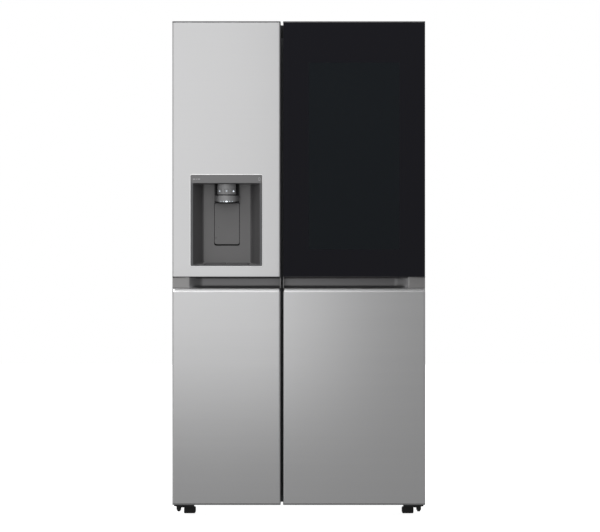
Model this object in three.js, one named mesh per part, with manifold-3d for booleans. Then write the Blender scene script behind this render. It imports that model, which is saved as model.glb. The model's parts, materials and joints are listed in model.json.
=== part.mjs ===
// A side by side refrigerator: freezer on the left, fridge on the right, a water and ice
// dispenser in the freezer door and a window in the fridge door.
// Millimetres, +Z up, the front faces -Y. The origin is on the floor, under the middle of the
// overall box.
import * as THREE from 'three';
import { mergeVertices } from 'three/addons/utils/BufferGeometryUtils.js';
import Module from 'manifold-3d';

const wasm = await Module();
wasm.setup();

// ---------------------------------------------------------------- driving dimensions
const WIDTH = 913; // overall, over both doors
const DEPTH = 735; // overall, door fronts to the wall bumpers
const HEIGHT = 1790; // floor to the doors' upper edge
const GAP = 0.3; // between pieces that touch

// Cabinet
const CASE_INSET = 3.5; // case side behind the door's side
const DOOR_RISE = 50; // doors' upper edge over the case top
const WALL_BUMPER = 17.5; // bumpers behind the case
const CASE_LIFT = 44; // floor to the case's lower edge
const CASE_SHEET = 1.2;
const BACK_SHEET = 0.8;
const LINER = 1.5;
const SIDE_WALL = 45; // case side to the compartment
const TOP_WALL = 55;
const REAR_WALL = 45;
const FLOOR_WALL = 66; // case's lower edge to the compartment floor
const MULLION = 56; // between the two compartments
const MACHINE_DEPTH = 220;
const MACHINE_HEIGHT = 196;
const CHASSIS_RIM = 18;
const CHASSIS_SHEET = 2;
const COVER_DEPTH = 105; // black cover along the top front
const COVER_DROP = 2; // cover's top under the doors' upper edge
const COVER_WALL = 3;
const COVER_SIDE = 2; // case side to the cover's side
const COVER_LIP = 12; // upright part of the cover's rear edge
const COVER_SLOPE = 40; // sloped part in front of that edge
const CHASSIS_PLAY = 1; // ear to roller

// Machine compartment
const MACHINE_COVER_INSET = 12; // case side to the slotted cover
const MACHINE_COVER_SHEET = 3;
const MACHINE_COVER_RISE = 24; // over the compartment
const SLOT_ROWS = 5;
const SLOT_COLUMNS = 4;
const SLOT_HEIGHT = 10;
const SLOT_MARGIN = 24; // the cover's lower edge to the first row, less at the upper edge
const BUMPER_INSET = 60; // case side to a wall bumper
const BUMPER_WIDTH = 50;
const BUMPER_HEIGHT = 30;
const COMPRESSOR_INSET = 226; // case side to the can's middle
const COMPRESSOR_RADIUS = 72;
const COMPRESSOR_HEIGHT = 150;
const COMPRESSOR_PLATE = 180; // foot plate's width
const CONDENSER_INSET = 90; // case side to the condenser
const CONDENSER_WIDTH = 236;
const CONDENSER_DEPTH = 120;
const CONDENSER_HEIGHT = 125;
const COIL_FINS = 8;
const FIN_SHEET = 2;
const COIL_TUBE_RADIUS = 5;

// Doors
const DOOR_THICKNESS = 105;
const DOOR_LIFT = 45; // floor to the doors' lower edge
const FREEZER_DOOR_WIDTH = 391;
const DOOR_SPLIT = 9; // between the two doors
const DOOR_ROUND = 7; // vertical front edges
const DOOR_SHEET = 1;
const DOOR_CAP = 4; // plastic cap on the upper and lower edge
const DOOR_RIM = 15; // plastic rim round the back of the door
const SEAL_THICKNESS = 10;
const SEAL_WIDTH = 18;
const SEAL_MARGIN = 3; // compartment edge to the seal
const SEAL_CLEARANCE = 1; // on each face of the seal
const RIB_DEPTH = 40; // ribs on the door's inner face that hold the bins
const RIB_WIDTH = 12;
const GLASS = 4;
const WINDOW_SIDE = 91; // door edge to the window
const WINDOW_TOP = 147;
const WINDOW_FOOT = 97; // handle to the window
const PANE_SEAT = 8; // inner pane past the window's edge
const BEVEL_SHEET = 1.5 * DOOR_SHEET; // the skin across the sloped edge
const RIB_INSET = 8; // compartment side to the hinge side rib
const RIB_END = 20; // compartment's floor and top to the ribs' ends
const SEAL_OUTER_ROUND = 14;
const SEAL_INNER_ROUND = 6;

// Handle pockets
const HANDLE_FLOOR = 827; // floor to the pocket's lower edge
const HANDLE_HEIGHT = 41;
const HANDLE_DEPTH = 40;
const HANDLE_BEVEL = 13.5;
const HANDLE_END = 54; // solid end beside the hinge side
const HANDLE_WALL = 2.5;

// Dispenser
const DISPENSER_WIDTH = 260;
const DISPENSER_HEIGHT = 330;
const DISPENSER_RISE = 38; // over the handle pocket
const DISPENSER_WALL = 2.5;
const HEADER_HEIGHT = 31;
const NICHE_DEPTH = 68;
const NICHE_RIM = 10; // frame beside the niche mouth
const NICHE_TAPER = 33; // each side's slope from the mouth to the back
const NICHE_FLOOR = 4;
const NICHE_FLOOR_SLOPE = 8; // niche floor's rise from the mouth to the back
const HEADER_INSET = 5; // frame's side to the header's box
const NOZZLE_RADIUS = 46.5;
const NOZZLE_HEIGHT = 71;
const LEVER_WIDTH = 84;
const LEVER_HEIGHT = 150;
const LEVER_THICKNESS = 3;
const LEVER_CLEARANCE = 4;
const LEVER_RECESS = 20;
const KEY_ANGLE = 32; // degrees between the mode keys
const KEY_SPAN = 18; // degrees that a key covers
const KEY_HEIGHT = 14;
const KEY_RISE = 37; // nozzle's foot to the keys
const KEY_THICKNESS = 4;
const KEY_PROUD = 0.8;
const KEY_CLEARANCE = 0.5;
const CHUTE_WIDTH = 56;
const CHUTE_HEIGHT = 44;
const CHUTE_DROP = 10; // niche's top to the chute
const FLAP_THICKNESS = 2;

// Hinges
const HINGE_INSET = 22; // door side to the hinge axis
const HINGE_SETBACK = 38; // door front to the hinge axis
const PIN_RADIUS = 6;
const PIN_CLEARANCE = 0.6;
const PIN_REACH = 30; // pin inside the door
const ARM_HALF = 12;
const ARM_THICKNESS = 6;
const NOTCH_DEPTH = 28; // pocket in the door's upper corner round the hinge arm
const NOTCH_SKIN = 10; // door left standing in front of the pocket
const NOTCH_CLEARANCE = 6; // beside the hinge arm
const HINGE_PLATE_REACH = 75; // case front to the upper plate's rear edge
const HINGE_PLATE = 4;
const HINGE_RISER = 8;
const LOWER_HINGE_PLATE = 6;
const LOWER_PIN_FOOT = 18; // floor to the lower pin's end
const HEIGHT_NUT_RADIUS = 10;
const HEIGHT_NUT = 15;
const SKIRT_SHEET = 4;

// Inner parts
const SWING_CLEARANCE = 5.5; // what turns with a door to the compartment's free edge
const BIN_DEPTH = 110;
const BIN_HEIGHT = 105;
const BIN_WALL = 2.5;
const BIN_PLAY = 1.5; // bin to the rib beside it
const BIN_ROUND = 16; // sloped front corners
const BIN_SHOULDER = 24; // door's inner face to where a bin starts to narrow
const LOW_BIN_RISE = 40; // compartment floor to the lowest bin
const LOW_BIN_LIMIT = 20; // handle's foot to the upper end of the low bins' room
const HIGH_BIN_RISE = 40; // window's foot to the first high bin
const HIGH_BIN_LIMIT = 30;
const SHELF_SETBACK = 16; // door bins to the shelves and drawers
const SHELF_THICKNESS = 6;
const SHELF_SIDE = 2;
const DRAWER_SIDE = 8;
const DRAWER_WALL = 2.5;
const DRAWER_ROUND = 14;
const DRAWER_REAR = 10; // drawer to the wall behind it
const LOWER_DRAWER_HEIGHT = 160;
const UPPER_DRAWER_HEIGHT = 180;
const DRAWER_SPACE = 12; // over and under a drawer
const AIR_PANEL = 6;
const DUCT_WIDTH = 300;
const DUCT_DEPTH = 26;
const EVAPORATOR_DEPTH = 58;
const EVAPORATOR_SIDE = 14; // compartment side to the evaporator
const EVAPORATOR_RISE = 20; // over the floor step
const EVAPORATOR_HEIGHT = 240;
const ICE_RISE = 26; // dispenser's top to the ice bin
const ICE_DROP = 24; // compartment's top to the ice maker
const ICE_GAP = 8;
const ICE_MAKER_HEIGHT = 130;
const FAN_RADIUS = 52;
const FAN_HUB_RADIUS = 15.5;
const FAN_BLADES = 5;
const FAN_BLADE_WIDTH = 28.5;
const FAN_BLADE_SHEET = 2;
const FAN_BLADE_TWIST = 0.5; // radians
const CONDENSER_FAN_RISE = 30; // case's lower edge to the fan's edge
const EVAPORATOR_FAN_DROP = 190; // compartment's top to the fan's middle

// Feet and rollers
const FOOT_SIZE = 42;
const FOOT_HEIGHT = 22;
const FOOT_INSET = 53; // case side to the foot's middle
const FOOT_SETBACK = 38; // case front to the foot's middle
const STEM_RADIUS = 5;
const STEM_CLEARANCE = 1;
const ROLLER_RADIUS = 19;
const ROLLER_WIDTH = 24;
const ROLLER_INSET = 70;
const ROLLER_SETBACK = 60;
const AXLE_RADIUS = 4;

const SMALL_ROUND_STEPS = 4; // segments in a rounded corner
const CIRCLE_STEPS = 24;

// ---------------------------------------------------------------- places that follow
const frontY = -DEPTH / 2;
const rearY = DEPTH / 2;
const doorBackY = frontY + DOOR_THICKNESS;
const caseFrontY = doorBackY + SEAL_THICKNESS + 2 * SEAL_CLEARANCE;
const caseRearY = rearY - WALL_BUMPER;
const caseSide = WIDTH / 2 - CASE_INSET;
const caseTop = HEIGHT - DOOR_RISE;
const roomTop = caseTop - TOP_WALL;
const roomFloor = CASE_LIFT + FLOOR_WALL;
const roomRearY = caseRearY - REAR_WALL;
const machineTop = CASE_LIFT + MACHINE_HEIGHT;
const machineFrontY = caseRearY - MACHINE_DEPTH;
const stepTop = machineTop + SIDE_WALL;
const stepY = machineFrontY - SIDE_WALL;
const handleTop = HANDLE_FLOOR + HANDLE_HEIGHT;
const capTop = HEIGHT - DOOR_CAP;
const capFoot = DOOR_LIFT + DOOR_CAP;
const hingeY = frontY + HINGE_SETBACK;
const binFrontY = doorBackY + GAP + BIN_DEPTH;
const shelfFrontY = binFrontY + SHELF_SETBACK;
const foamFloor = CASE_LIFT + CHASSIS_RIM + GAP;
const splitX = -WIDTH / 2 + FREEZER_DOOR_WIDTH + DOOR_SPLIT / 2;

/**
 * One door and the compartment behind it. side is -1 for the freezer on the left, and 1 for
 * the fridge on the right. Distances from the hinge axis towards the free edge are called u.
 */
function bay(side) {
  const hingeX = side * (WIDTH / 2 - HINGE_INSET);
  const outerX = (side * WIDTH) / 2;
  const freeX = splitX + (side * DOOR_SPLIT) / 2;
  const roomOuterX = side * (caseSide - SIDE_WALL);
  const roomFreeX = splitX + (side * MULLION) / 2;
  return {
    side,
    hingeX,
    door: span(outerX, freeX),
    room: span(roomOuterX, roomFreeX),
    outerX,
    freeX,
    roomOuterU: Math.abs(hingeX - roomOuterX),
    roomFreeU: Math.abs(hingeX - roomFreeX),
    at: (u) => hingeX - side * u,
  };
}

/** Two numbers, the lower one first. */
function span(a, b) {
  return [Math.min(a, b), Math.max(a, b)];
}

/** A span made longer by the same amount at both ends. */
function grown([low, high], by) {
  return [low - by, high + by];
}

/** The middle of a span. */
function middle([low, high]) {
  return (low + high) / 2;
}

const freezer = bay(-1);
const fridge = bay(1);

/** How far from the hinge a thing at this Y may reach and still swing past the free edge. */
function freeReach(room, y) {
  const behindAxis = y - hingeY;
  const edge = caseFrontY - hingeY;
  const radius = room.roomFreeU - SWING_CLEARANCE;
  return Math.sqrt(radius ** 2 - behindAxis ** 2 + edge ** 2);
}

// ---------------------------------------------------------------- solids
/** A closed three.js geometry as a manifold solid. */
function solid(geometry) {
  const bare = geometry.clone();
  bare.deleteAttribute('normal');
  bare.deleteAttribute('uv');
  const merged = mergeVertices(bare, 1e-4);
  const vertProperties = new Float32Array(merged.attributes.position.array);
  const triVerts = new Uint32Array(merged.index.array);
  return new wasm.Manifold(new wasm.Mesh({ numProp: 3, vertProperties, triVerts }));
}

/** A manifold solid as a three.js geometry. */
function geometryOf(shape) {
  const mesh = shape.getMesh();
  const geometry = new THREE.BufferGeometry();
  geometry.setAttribute('position', new THREE.BufferAttribute(mesh.vertProperties, 3));
  geometry.setIndex(new THREE.BufferAttribute(mesh.triVerts, 1));
  geometry.computeVertexNormals();
  return geometry;
}

/** A box between two X, two Y and two Z places. */
function block([x0, x1], [y0, y1], [z0, z1]) {
  const geometry = new THREE.BoxGeometry(x1 - x0, y1 - y0, z1 - z0);
  geometry.translate((x0 + x1) / 2, (y0 + y1) / 2, (z0 + z1) / 2);
  return solid(geometry);
}

/** A shape extruded along an axis. Its own two axes are the other two, in X, Y, Z order. */
function prism(shape, axis, [from, to]) {
  const geometry = new THREE.ExtrudeGeometry(shape, {
    depth: to - from,
    bevelEnabled: false,
    curveSegments: SMALL_ROUND_STEPS,
  });
  if (axis === 'z') {
    geometry.translate(0, 0, from);
  } else if (axis === 'y') {
    geometry.rotateX(Math.PI / 2);
    geometry.translate(0, to, 0);
  } else {
    geometry.rotateX(Math.PI / 2);
    geometry.rotateZ(Math.PI / 2);
    geometry.translate(from, 0, 0);
  }
  return solid(geometry);
}

/** A round bar along an axis. centre holds its place on the other two axes, in order. */
function rod(axis, centre, radius, [from, to], steps = CIRCLE_STEPS) {
  const geometry = new THREE.CylinderGeometry(radius, radius, to - from, steps);
  const middlePlace = (from + to) / 2;
  if (axis === 'x') {
    geometry.rotateZ(Math.PI / 2);
    geometry.translate(middlePlace, centre[0], centre[1]);
  } else if (axis === 'y') {
    geometry.translate(centre[0], middlePlace, centre[1]);
  } else {
    geometry.rotateX(Math.PI / 2);
    geometry.translate(centre[0], centre[1], middlePlace);
  }
  return solid(geometry);
}

/** A closed outline through these points. */
function outline(points) {
  return new THREE.Shape(points.map(([a, b]) => new THREE.Vector2(a, b)));
}

/** A rectangle with round corners. */
function roundedRectangle([a0, a1], [b0, b1], radius) {
  const shape = new THREE.Shape();
  shape.moveTo(a0 + radius, b0);
  shape.lineTo(a1 - radius, b0);
  shape.absarc(a1 - radius, b0 + radius, radius, -Math.PI / 2, 0, false);
  shape.lineTo(a1, b1 - radius);
  shape.absarc(a1 - radius, b1 - radius, radius, 0, Math.PI / 2, false);
  shape.lineTo(a0 + radius, b1);
  shape.absarc(a0 + radius, b1 - radius, radius, Math.PI / 2, Math.PI, false);
  shape.lineTo(a0, b0 + radius);
  shape.absarc(a0 + radius, b0 + radius, radius, Math.PI, (3 * Math.PI) / 2, false);
  return shape;
}

/** A block whose front and rear rectangles differ; each is [xSpan, zSpan]. */
function taperedBlock(front, rear, [y0, y1]) {
  const geometry = new THREE.BoxGeometry(1, 1, 1);
  const places = geometry.attributes.position;
  for (let i = 0; i < places.count; i += 1) {
    const [xSpan, zSpan] = places.getY(i) < 0 ? front : rear;
    const x = xSpan[places.getX(i) < 0 ? 0 : 1];
    const z = zSpan[places.getZ(i) < 0 ? 0 : 1];
    places.setXYZ(i, x, places.getY(i) < 0 ? y0 : y1, z);
  }
  return solid(geometry);
}

/** Several solids joined into one. */
function joined(shapes) {
  return shapes.reduce((sum, shape) => sum.add(shape));
}

/** A solid with several others cut out of it. */
function cut(shape, tools) {
  return tools.reduce((left, tool) => left.subtract(tool), shape);
}

/** An open box with round upright corners, its walls and floor of one thickness. */
function tub(xSpan, ySpan, zSpan, wall, radius) {
  const outer = prism(roundedRectangle(xSpan, ySpan, radius), 'z', zSpan);
  const innerShape = roundedRectangle(grown(xSpan, -wall), grown(ySpan, -wall), radius - wall);
  return outer.subtract(prism(innerShape, 'z', [zSpan[0] + wall, zSpan[1] + 1]));
}

// ---------------------------------------------------------------- finishes
const finishes = {
  brushedSteel: { color: 0xc4c5c6, roughness: 0.34, metalness: 0.9 },
  caseGrey: { color: 0x6f7275, roughness: 0.45, metalness: 0.3 },
  galvanised: { color: 0xa9adb0, roughness: 0.5, metalness: 0.8 },
  blackSteel: { color: 0x1b1b1d, roughness: 0.5, metalness: 0.4 },
  blackPlastic: { color: 0x17181a, roughness: 0.55, metalness: 0 },
  blackGlass: { color: 0x0e0f12, roughness: 0.06, metalness: 0 },
  clearGlass: { color: 0xdfe9e6, roughness: 0.05, metalness: 0 },
  whitePlastic: { color: 0xeceeee, roughness: 0.4, metalness: 0 },
  clearPlastic: { color: 0xe4eaec, roughness: 0.15, metalness: 0 },
  darkGreyPlastic: { color: 0x5a5a5c, roughness: 0.45, metalness: 0.1 },
  sealGrey: { color: 0x8c8f91, roughness: 0.7, metalness: 0 },
  foam: { color: 0xe0cf9a, roughness: 0.9, metalness: 0 },
  aluminium: { color: 0xc9cccf, roughness: 0.35, metalness: 1 },
};

const refrigerator = new THREE.Group();

/** Adds one named sub-part with its finish. */
function add(name, shape, finish) {
  const mesh = new THREE.Mesh(geometryOf(shape), new THREE.MeshStandardMaterial(finishes[finish]));
  mesh.name = name;
  refrigerator.add(mesh);
}

// ---------------------------------------------------------------- cabinet
const compartments = [freezer, fridge];

/** The steel wrapper: two sides, the top, and the front frame with the rail between. */
function outerCase() {
  const whole = block([-caseSide, caseSide], [caseFrontY, caseRearY], [CASE_LIFT, caseTop]);
  const hollow = block(
    grown([-caseSide, caseSide], -CASE_SHEET),
    [caseFrontY + CASE_SHEET, caseRearY + 1],
    [CASE_LIFT - 1, caseTop - CASE_SHEET],
  );
  const mouths = compartments.map(({ room }) => block(room, grown([caseFrontY, caseFrontY], 5), [
    roomFloor,
    roomTop,
  ]));
  return cut(whole, [hollow, ...mouths]);
}

/** The thin sheet that closes the back, above the machine compartment. */
function backPanel() {
  const inside = grown([-caseSide, caseSide], -(CASE_SHEET + GAP));
  return block(inside, [caseRearY - BACK_SHEET, caseRearY], [
    machineTop,
    caseTop - CASE_SHEET - GAP,
  ]);
}

/** One compartment's hollow with its rear floor step, grown outwards by a wall. */
function roomHollow({ room }, grow) {
  const startY = caseFrontY - 1;
  const profile = outline([
    [startY, roomFloor - grow],
    [stepY + grow, roomFloor - grow],
    [stepY + grow, stepTop - grow],
    [roomRearY + grow, stepTop - grow],
    [roomRearY + grow, roomTop + grow],
    [startY, roomTop + grow],
  ]);
  return prism(profile, 'x', grown(room, grow));
}

/** The moulded plastic lining of one compartment, open at the front. */
function liner(compartment) {
  const outer = roomHollow(compartment, LINER);
  const mouthY = caseFrontY + CASE_SHEET + GAP;
  const beforeMouth = block([-WIDTH, WIDTH], [mouthY - 10, mouthY], [0, HEIGHT]);
  return cut(outer, [roomHollow(compartment, 0), beforeMouth]);
}

/** The foam between the wrapper and the linings, cut away over the machine compartment. */
function insulationFoam() {
  const inset = CASE_SHEET + GAP;
  const whole = block(
    grown([-caseSide, caseSide], -inset),
    [caseFrontY + inset, caseRearY - BACK_SHEET - GAP],
    [foamFloor, caseTop - inset],
  );
  const machine = block(
    [-WIDTH, WIDTH],
    [machineFrontY, caseRearY + 1],
    [0, machineTop],
  );
  const hollows = compartments.map((compartment) => roomHollow(compartment, LINER + GAP));
  const stems = [-1, 1].map((side) => rod(
    'z',
    [side * (caseSide - FOOT_INSET), caseFrontY + FOOT_SETBACK],
    STEM_RADIUS + STEM_CLEARANCE,
    [0, foamFloor + 1],
  ));
  return cut(whole, [machine, ...hollows, ...stems]);
}

/** The black cover along the top front, over the upper hinges. */
function topCover() {
  const xSpan = grown([-caseSide, caseSide], -COVER_SIDE);
  const ySpan = [caseFrontY, caseFrontY + COVER_DEPTH];
  const zSpan = [caseTop + GAP, HEIGHT - COVER_DROP];
  const whole = prism(
    outline([
      [ySpan[0], zSpan[0]],
      [ySpan[1], zSpan[0]],
      [ySpan[1], zSpan[0] + COVER_LIP],
      [ySpan[1] - COVER_SLOPE, zSpan[1]],
      [ySpan[0], zSpan[1]],
    ]),
    'x',
    xSpan,
  );
  const hollow = prism(
    outline([
      [ySpan[0] + COVER_WALL, zSpan[0] - 1],
      [ySpan[1] - COVER_WALL, zSpan[0] - 1],
      [ySpan[1] - COVER_WALL, zSpan[0] + COVER_LIP - 1],
      [ySpan[1] - COVER_SLOPE - 2, zSpan[1] - COVER_WALL],
      [ySpan[0] + COVER_WALL, zSpan[1] - COVER_WALL],
    ]),
    'x',
    grown(xSpan, -COVER_WALL),
  );
  const armSlots = compartments.map(({ hingeX }) => block(
    grown([hingeX, hingeX], ARM_HALF + 1),
    grown([caseFrontY, caseFrontY], COVER_WALL + 1),
    [armFloor - 1, armFloor + ARM_THICKNESS + 1],
  ));
  return cut(whole, [hollow, ...armSlots]);
}

/** The steel tray under the foam, with the machine compartment's floor and side plates. */
function baseFrame() {
  const inset = CASE_SHEET + GAP;
  const xSpan = grown([-caseSide, caseSide], -inset);
  const ySpan = [caseFrontY + inset, caseRearY];
  const tray = block(xSpan, ySpan, [CASE_LIFT, CASE_LIFT + CHASSIS_RIM]);
  const trayHollow = block(
    grown(xSpan, -CHASSIS_SHEET),
    [ySpan[0] + CHASSIS_SHEET, machineFrontY - CHASSIS_SHEET],
    [CASE_LIFT + CHASSIS_SHEET, HEIGHT],
  );
  const machineHollow = block(
    grown(xSpan, -CHASSIS_SHEET),
    [machineFrontY + GAP, caseRearY + 1],
    [CASE_LIFT + CHASSIS_SHEET, HEIGHT],
  );
  const sidePlates = [-1, 1].map((side) => block(
    span(side * (caseSide - inset), side * (caseSide - inset - CHASSIS_SHEET)),
    [machineFrontY + GAP, caseRearY],
    [CASE_LIFT + CHASSIS_RIM, machineTop - GAP],
  ));
  const stems = [-1, 1].map((side) => rod(
    'z',
    [side * (caseSide - FOOT_INSET), caseFrontY + FOOT_SETBACK],
    STEM_RADIUS + STEM_CLEARANCE,
    [0, CASE_LIFT + CHASSIS_RIM],
  ));
  const cradles = [-1, 1].map((side) => rollerCradle(side));
  return joined([cut(tray, [trayHollow, machineHollow, ...stems]), ...sidePlates, ...cradles]);
}

/** Two ears and an axle that hold one rear roller under the tray. */
function rollerCradle(side) {
  const x = side * (caseSide - ROLLER_INSET);
  const y = caseRearY - ROLLER_SETBACK;
  const earSpans = [-1, 1].map((end) => span(
    x + end * (ROLLER_WIDTH / 2 + CHASSIS_PLAY),
    x + end * (ROLLER_WIDTH / 2 + CHASSIS_PLAY + CHASSIS_SHEET),
  ));
  const ears = earSpans.map((xSpan) => block(
    xSpan,
    grown([y, y], ROLLER_RADIUS - 4),
    [ROLLER_RADIUS - 8, CASE_LIFT + 1],
  ));
  const axle = rod('x', [y, ROLLER_RADIUS], AXLE_RADIUS, [earSpans[0][0], earSpans[1][1]], 16);
  return joined([...ears, axle]);
}

/** The slotted cover over the machine compartment, with the wall bumpers on it. */
function machineCover() {
  const xSpan = grown([-caseSide, caseSide], -MACHINE_COVER_INSET);
  const zSpan = [CASE_LIFT + CHASSIS_RIM + CHASSIS_SHEET, machineTop + MACHINE_COVER_RISE];
  const plate = block(xSpan, [caseRearY + GAP, caseRearY + MACHINE_COVER_SHEET], zSpan);
  const columnPitch = (xSpan[1] - xSpan[0]) / SLOT_COLUMNS;
  const slotWidth = (xSpan[1] - xSpan[0]) / (SLOT_COLUMNS + 1);
  const rowPitch = (MACHINE_HEIGHT - CHASSIS_RIM - SLOT_MARGIN - SLOT_HEIGHT) / SLOT_ROWS;
  const slots = [];
  for (let row = 0; row < SLOT_ROWS; row += 1) {
    for (let column = 0; column < SLOT_COLUMNS; column += 1) {
      const x = xSpan[0] + (column + 0.5) * columnPitch;
      const z = zSpan[0] + SLOT_MARGIN + row * rowPitch;
      slots.push(block(
        grown([x, x], slotWidth / 2),
        [caseRearY, caseRearY + MACHINE_COVER_SHEET + 1],
        [z, z + SLOT_HEIGHT],
      ));
    }
  }
  const bumpers = [-1, 1].map((side) => block(
    span(side * (caseSide - BUMPER_INSET), side * (caseSide - BUMPER_INSET - BUMPER_WIDTH)),
    [caseRearY + MACHINE_COVER_SHEET - 1, rearY],
    grown([machineTop + 7, machineTop + 7], BUMPER_HEIGHT / 2),
  ));
  return joined([cut(plate, slots), ...bumpers]);
}

/** The domed compressor can on its foot plate. */
function compressor() {
  const x = caseSide - COMPRESSOR_INSET;
  const y = middle([machineFrontY, caseRearY]);
  const floorZ = CASE_LIFT + CHASSIS_SHEET + GAP;
  const profile = [
    [0, 12],
    [COMPRESSOR_RADIUS - 18, 14],
    [COMPRESSOR_RADIUS, 34],
    [COMPRESSOR_RADIUS, COMPRESSOR_HEIGHT - 40],
    [COMPRESSOR_RADIUS - 14, COMPRESSOR_HEIGHT - 12],
    [COMPRESSOR_RADIUS - 43, COMPRESSOR_HEIGHT],
    [0, COMPRESSOR_HEIGHT],
  ].map(([r, z]) => new THREE.Vector2(r, z));
  const can = new THREE.LatheGeometry(profile, CIRCLE_STEPS);
  can.rotateX(Math.PI / 2);
  can.translate(x, y, floorZ);
  const plan = [grown([x, x], COMPRESSOR_PLATE / 2), grown([y, y], COMPRESSOR_RADIUS)];
  const plate = prism(roundedRectangle(...plan, 12), 'z', [floorZ, floorZ + 4]);
  const neck = rod('z', [x, y], COMPRESSOR_RADIUS / 2, [floorZ + 2, floorZ + 16]);
  return joined([solid(can), plate, neck]);
}

/** A bank of cooling fins with end plates and two tubes through them. */
function finBank(xSpan, ySpan, zSpan) {
  const pitch = (xSpan[1] - xSpan[0] - FIN_SHEET) / COIL_FINS;
  const fins = Array.from({ length: COIL_FINS + 1 }, (_, i) => {
    const x = xSpan[0] + i * pitch;
    return block([x, x + FIN_SHEET], ySpan, zSpan);
  });
  const quarter = (zSpan[1] - zSpan[0]) / 4;
  const tubes = [zSpan[0] + quarter, zSpan[1] - quarter].map((z) => rod(
    'x',
    [middle(ySpan), z],
    COIL_TUBE_RADIUS,
    xSpan,
    8,
  ));
  return joined([...tubes, ...fins]);
}

/** The condenser on the machine compartment's floor. */
function condenser() {
  const x = CONDENSER_INSET - caseSide;
  const y = middle([machineFrontY, caseRearY]);
  const z = CASE_LIFT + CHASSIS_SHEET + GAP;
  return finBank(
    [x, x + CONDENSER_WIDTH],
    grown([y, y], CONDENSER_DEPTH / 2),
    [z, z + CONDENSER_HEIGHT],
  );
}

const airPanelY = roomRearY - EVAPORATOR_DEPTH - AIR_PANEL - 6;

/** The evaporator behind the freezer's rear panel. */
function evaporator() {
  return finBank(
    grown(freezer.room, -EVAPORATOR_SIDE),
    [airPanelY + AIR_PANEL + 4, airPanelY + AIR_PANEL + EVAPORATOR_DEPTH],
    [stepTop + EVAPORATOR_RISE, stepTop + EVAPORATOR_RISE + EVAPORATOR_HEIGHT],
  );
}

const evaporatorFanZ = roomTop - EVAPORATOR_FAN_DROP;

/** The freezer's rear air panel, with the fan's round mouth. */
function freezerRearPanel() {
  const plate = block(
    grown(freezer.room, -2),
    [airPanelY, airPanelY + AIR_PANEL],
    [stepTop + 1, roomTop - 1],
  );
  const mouth = rod(
    'y',
    [middle(freezer.room), evaporatorFanZ],
    FAN_RADIUS + 3,
    [airPanelY - 1, airPanelY + AIR_PANEL + 1],
  );
  return plate.subtract(mouth);
}

/** The fridge's air duct up the middle of its rear wall. */
function fridgeDuctPanel() {
  const x = middle(fridge.room);
  const plan = [grown([x, x], DUCT_WIDTH / 2), [stepTop + 20, roomTop - 30]];
  return prism(roundedRectangle(...plan, 20), 'y', [roomRearY - DUCT_DEPTH, roomRearY - 1]);
}

/** A fan with flat twisted blades on a hub, turning about an axis along Y. */
function fan(x, z, ySpan) {
  const [inner, outer] = [FAN_HUB_RADIUS - 2, FAN_RADIUS - 1];
  const parts = [rod('y', [x, z], FAN_HUB_RADIUS, ySpan, 20)];
  for (let i = 0; i < FAN_BLADES; i += 1) {
    const blade = new THREE.BoxGeometry(outer - inner, FAN_BLADE_SHEET, FAN_BLADE_WIDTH);
    blade.rotateX(FAN_BLADE_TWIST);
    blade.translate((inner + outer) / 2, 0, 0);
    blade.rotateY((i * 2 * Math.PI) / FAN_BLADES);
    blade.translate(x, middle(ySpan), z);
    parts.push(solid(blade));
  }
  return joined(parts);
}

// ---------------------------------------------------------------- hinges and feet
const armFloor = HEIGHT - NOTCH_DEPTH + 4;

/** The upper hinge: foot plate on the case top, riser, arm and the pin into the door. */
function upperHinge({ hingeX }) {
  const plateZ = caseTop + GAP;
  const plateY = [caseFrontY + COVER_WALL + 3, caseFrontY + HINGE_PLATE_REACH];
  const plateX = grown([hingeX, hingeX], ARM_HALF - 1);
  const plate = block(plateX, plateY, [plateZ, plateZ + HINGE_PLATE]);
  const riser = block(
    plateX,
    [plateY[0], plateY[0] + HINGE_RISER],
    [plateZ, armFloor + ARM_THICKNESS],
  );
  const arm = block(
    grown([hingeX, hingeX], ARM_HALF),
    [hingeY, plateY[0] + HINGE_RISER],
    [armFloor, armFloor + ARM_THICKNESS],
  );
  const eye = rod('z', [hingeX, hingeY], ARM_HALF, [armFloor, armFloor + ARM_THICKNESS]);
  const pin = rod('z', [hingeX, hingeY], PIN_RADIUS, [
    HEIGHT - NOTCH_DEPTH - PIN_REACH,
    armFloor + 1,
  ]);
  return joined([plate, riser, arm, eye, pin]);
}

/** The lower hinge: plate under the case and the door, the pin and its height nut. */
function lowerHinge({ hingeX, side }) {
  const plateTop = CASE_LIFT - GAP;
  const footX = side * (caseSide - FOOT_INSET);
  const xSpan = span(hingeX + side * 17, footX - side * (FOOT_SIZE / 2));
  const ySpan = [hingeY - 20, caseFrontY + FOOT_SETBACK + FOOT_SIZE / 2];
  const plate = prism(roundedRectangle(xSpan, ySpan, 8), 'z', [
    plateTop - LOWER_HINGE_PLATE,
    plateTop,
  ]);
  const skirt = block(
    span(hingeX + side * 12, footX - side * (FOOT_SIZE / 2 - 3)),
    [caseFrontY - 2 * SKIRT_SHEET, caseFrontY - SKIRT_SHEET],
    [FOOT_HEIGHT + 2, plateTop - 1],
  );
  const pin = rod('z', [hingeX, hingeY], PIN_RADIUS, [LOWER_PIN_FOOT, DOOR_LIFT + PIN_REACH]);
  const nutTop = plateTop - LOWER_HINGE_PLATE + 1;
  const nut = rod('z', [hingeX, hingeY], HEIGHT_NUT_RADIUS, [nutTop - HEIGHT_NUT, nutTop], 6);
  const stemHole = rod(
    'z',
    [footX, caseFrontY + FOOT_SETBACK],
    STEM_RADIUS + STEM_CLEARANCE,
    [0, CASE_LIFT],
  );
  return joined([plate, skirt, pin, nut]).subtract(stemHole);
}

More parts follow.
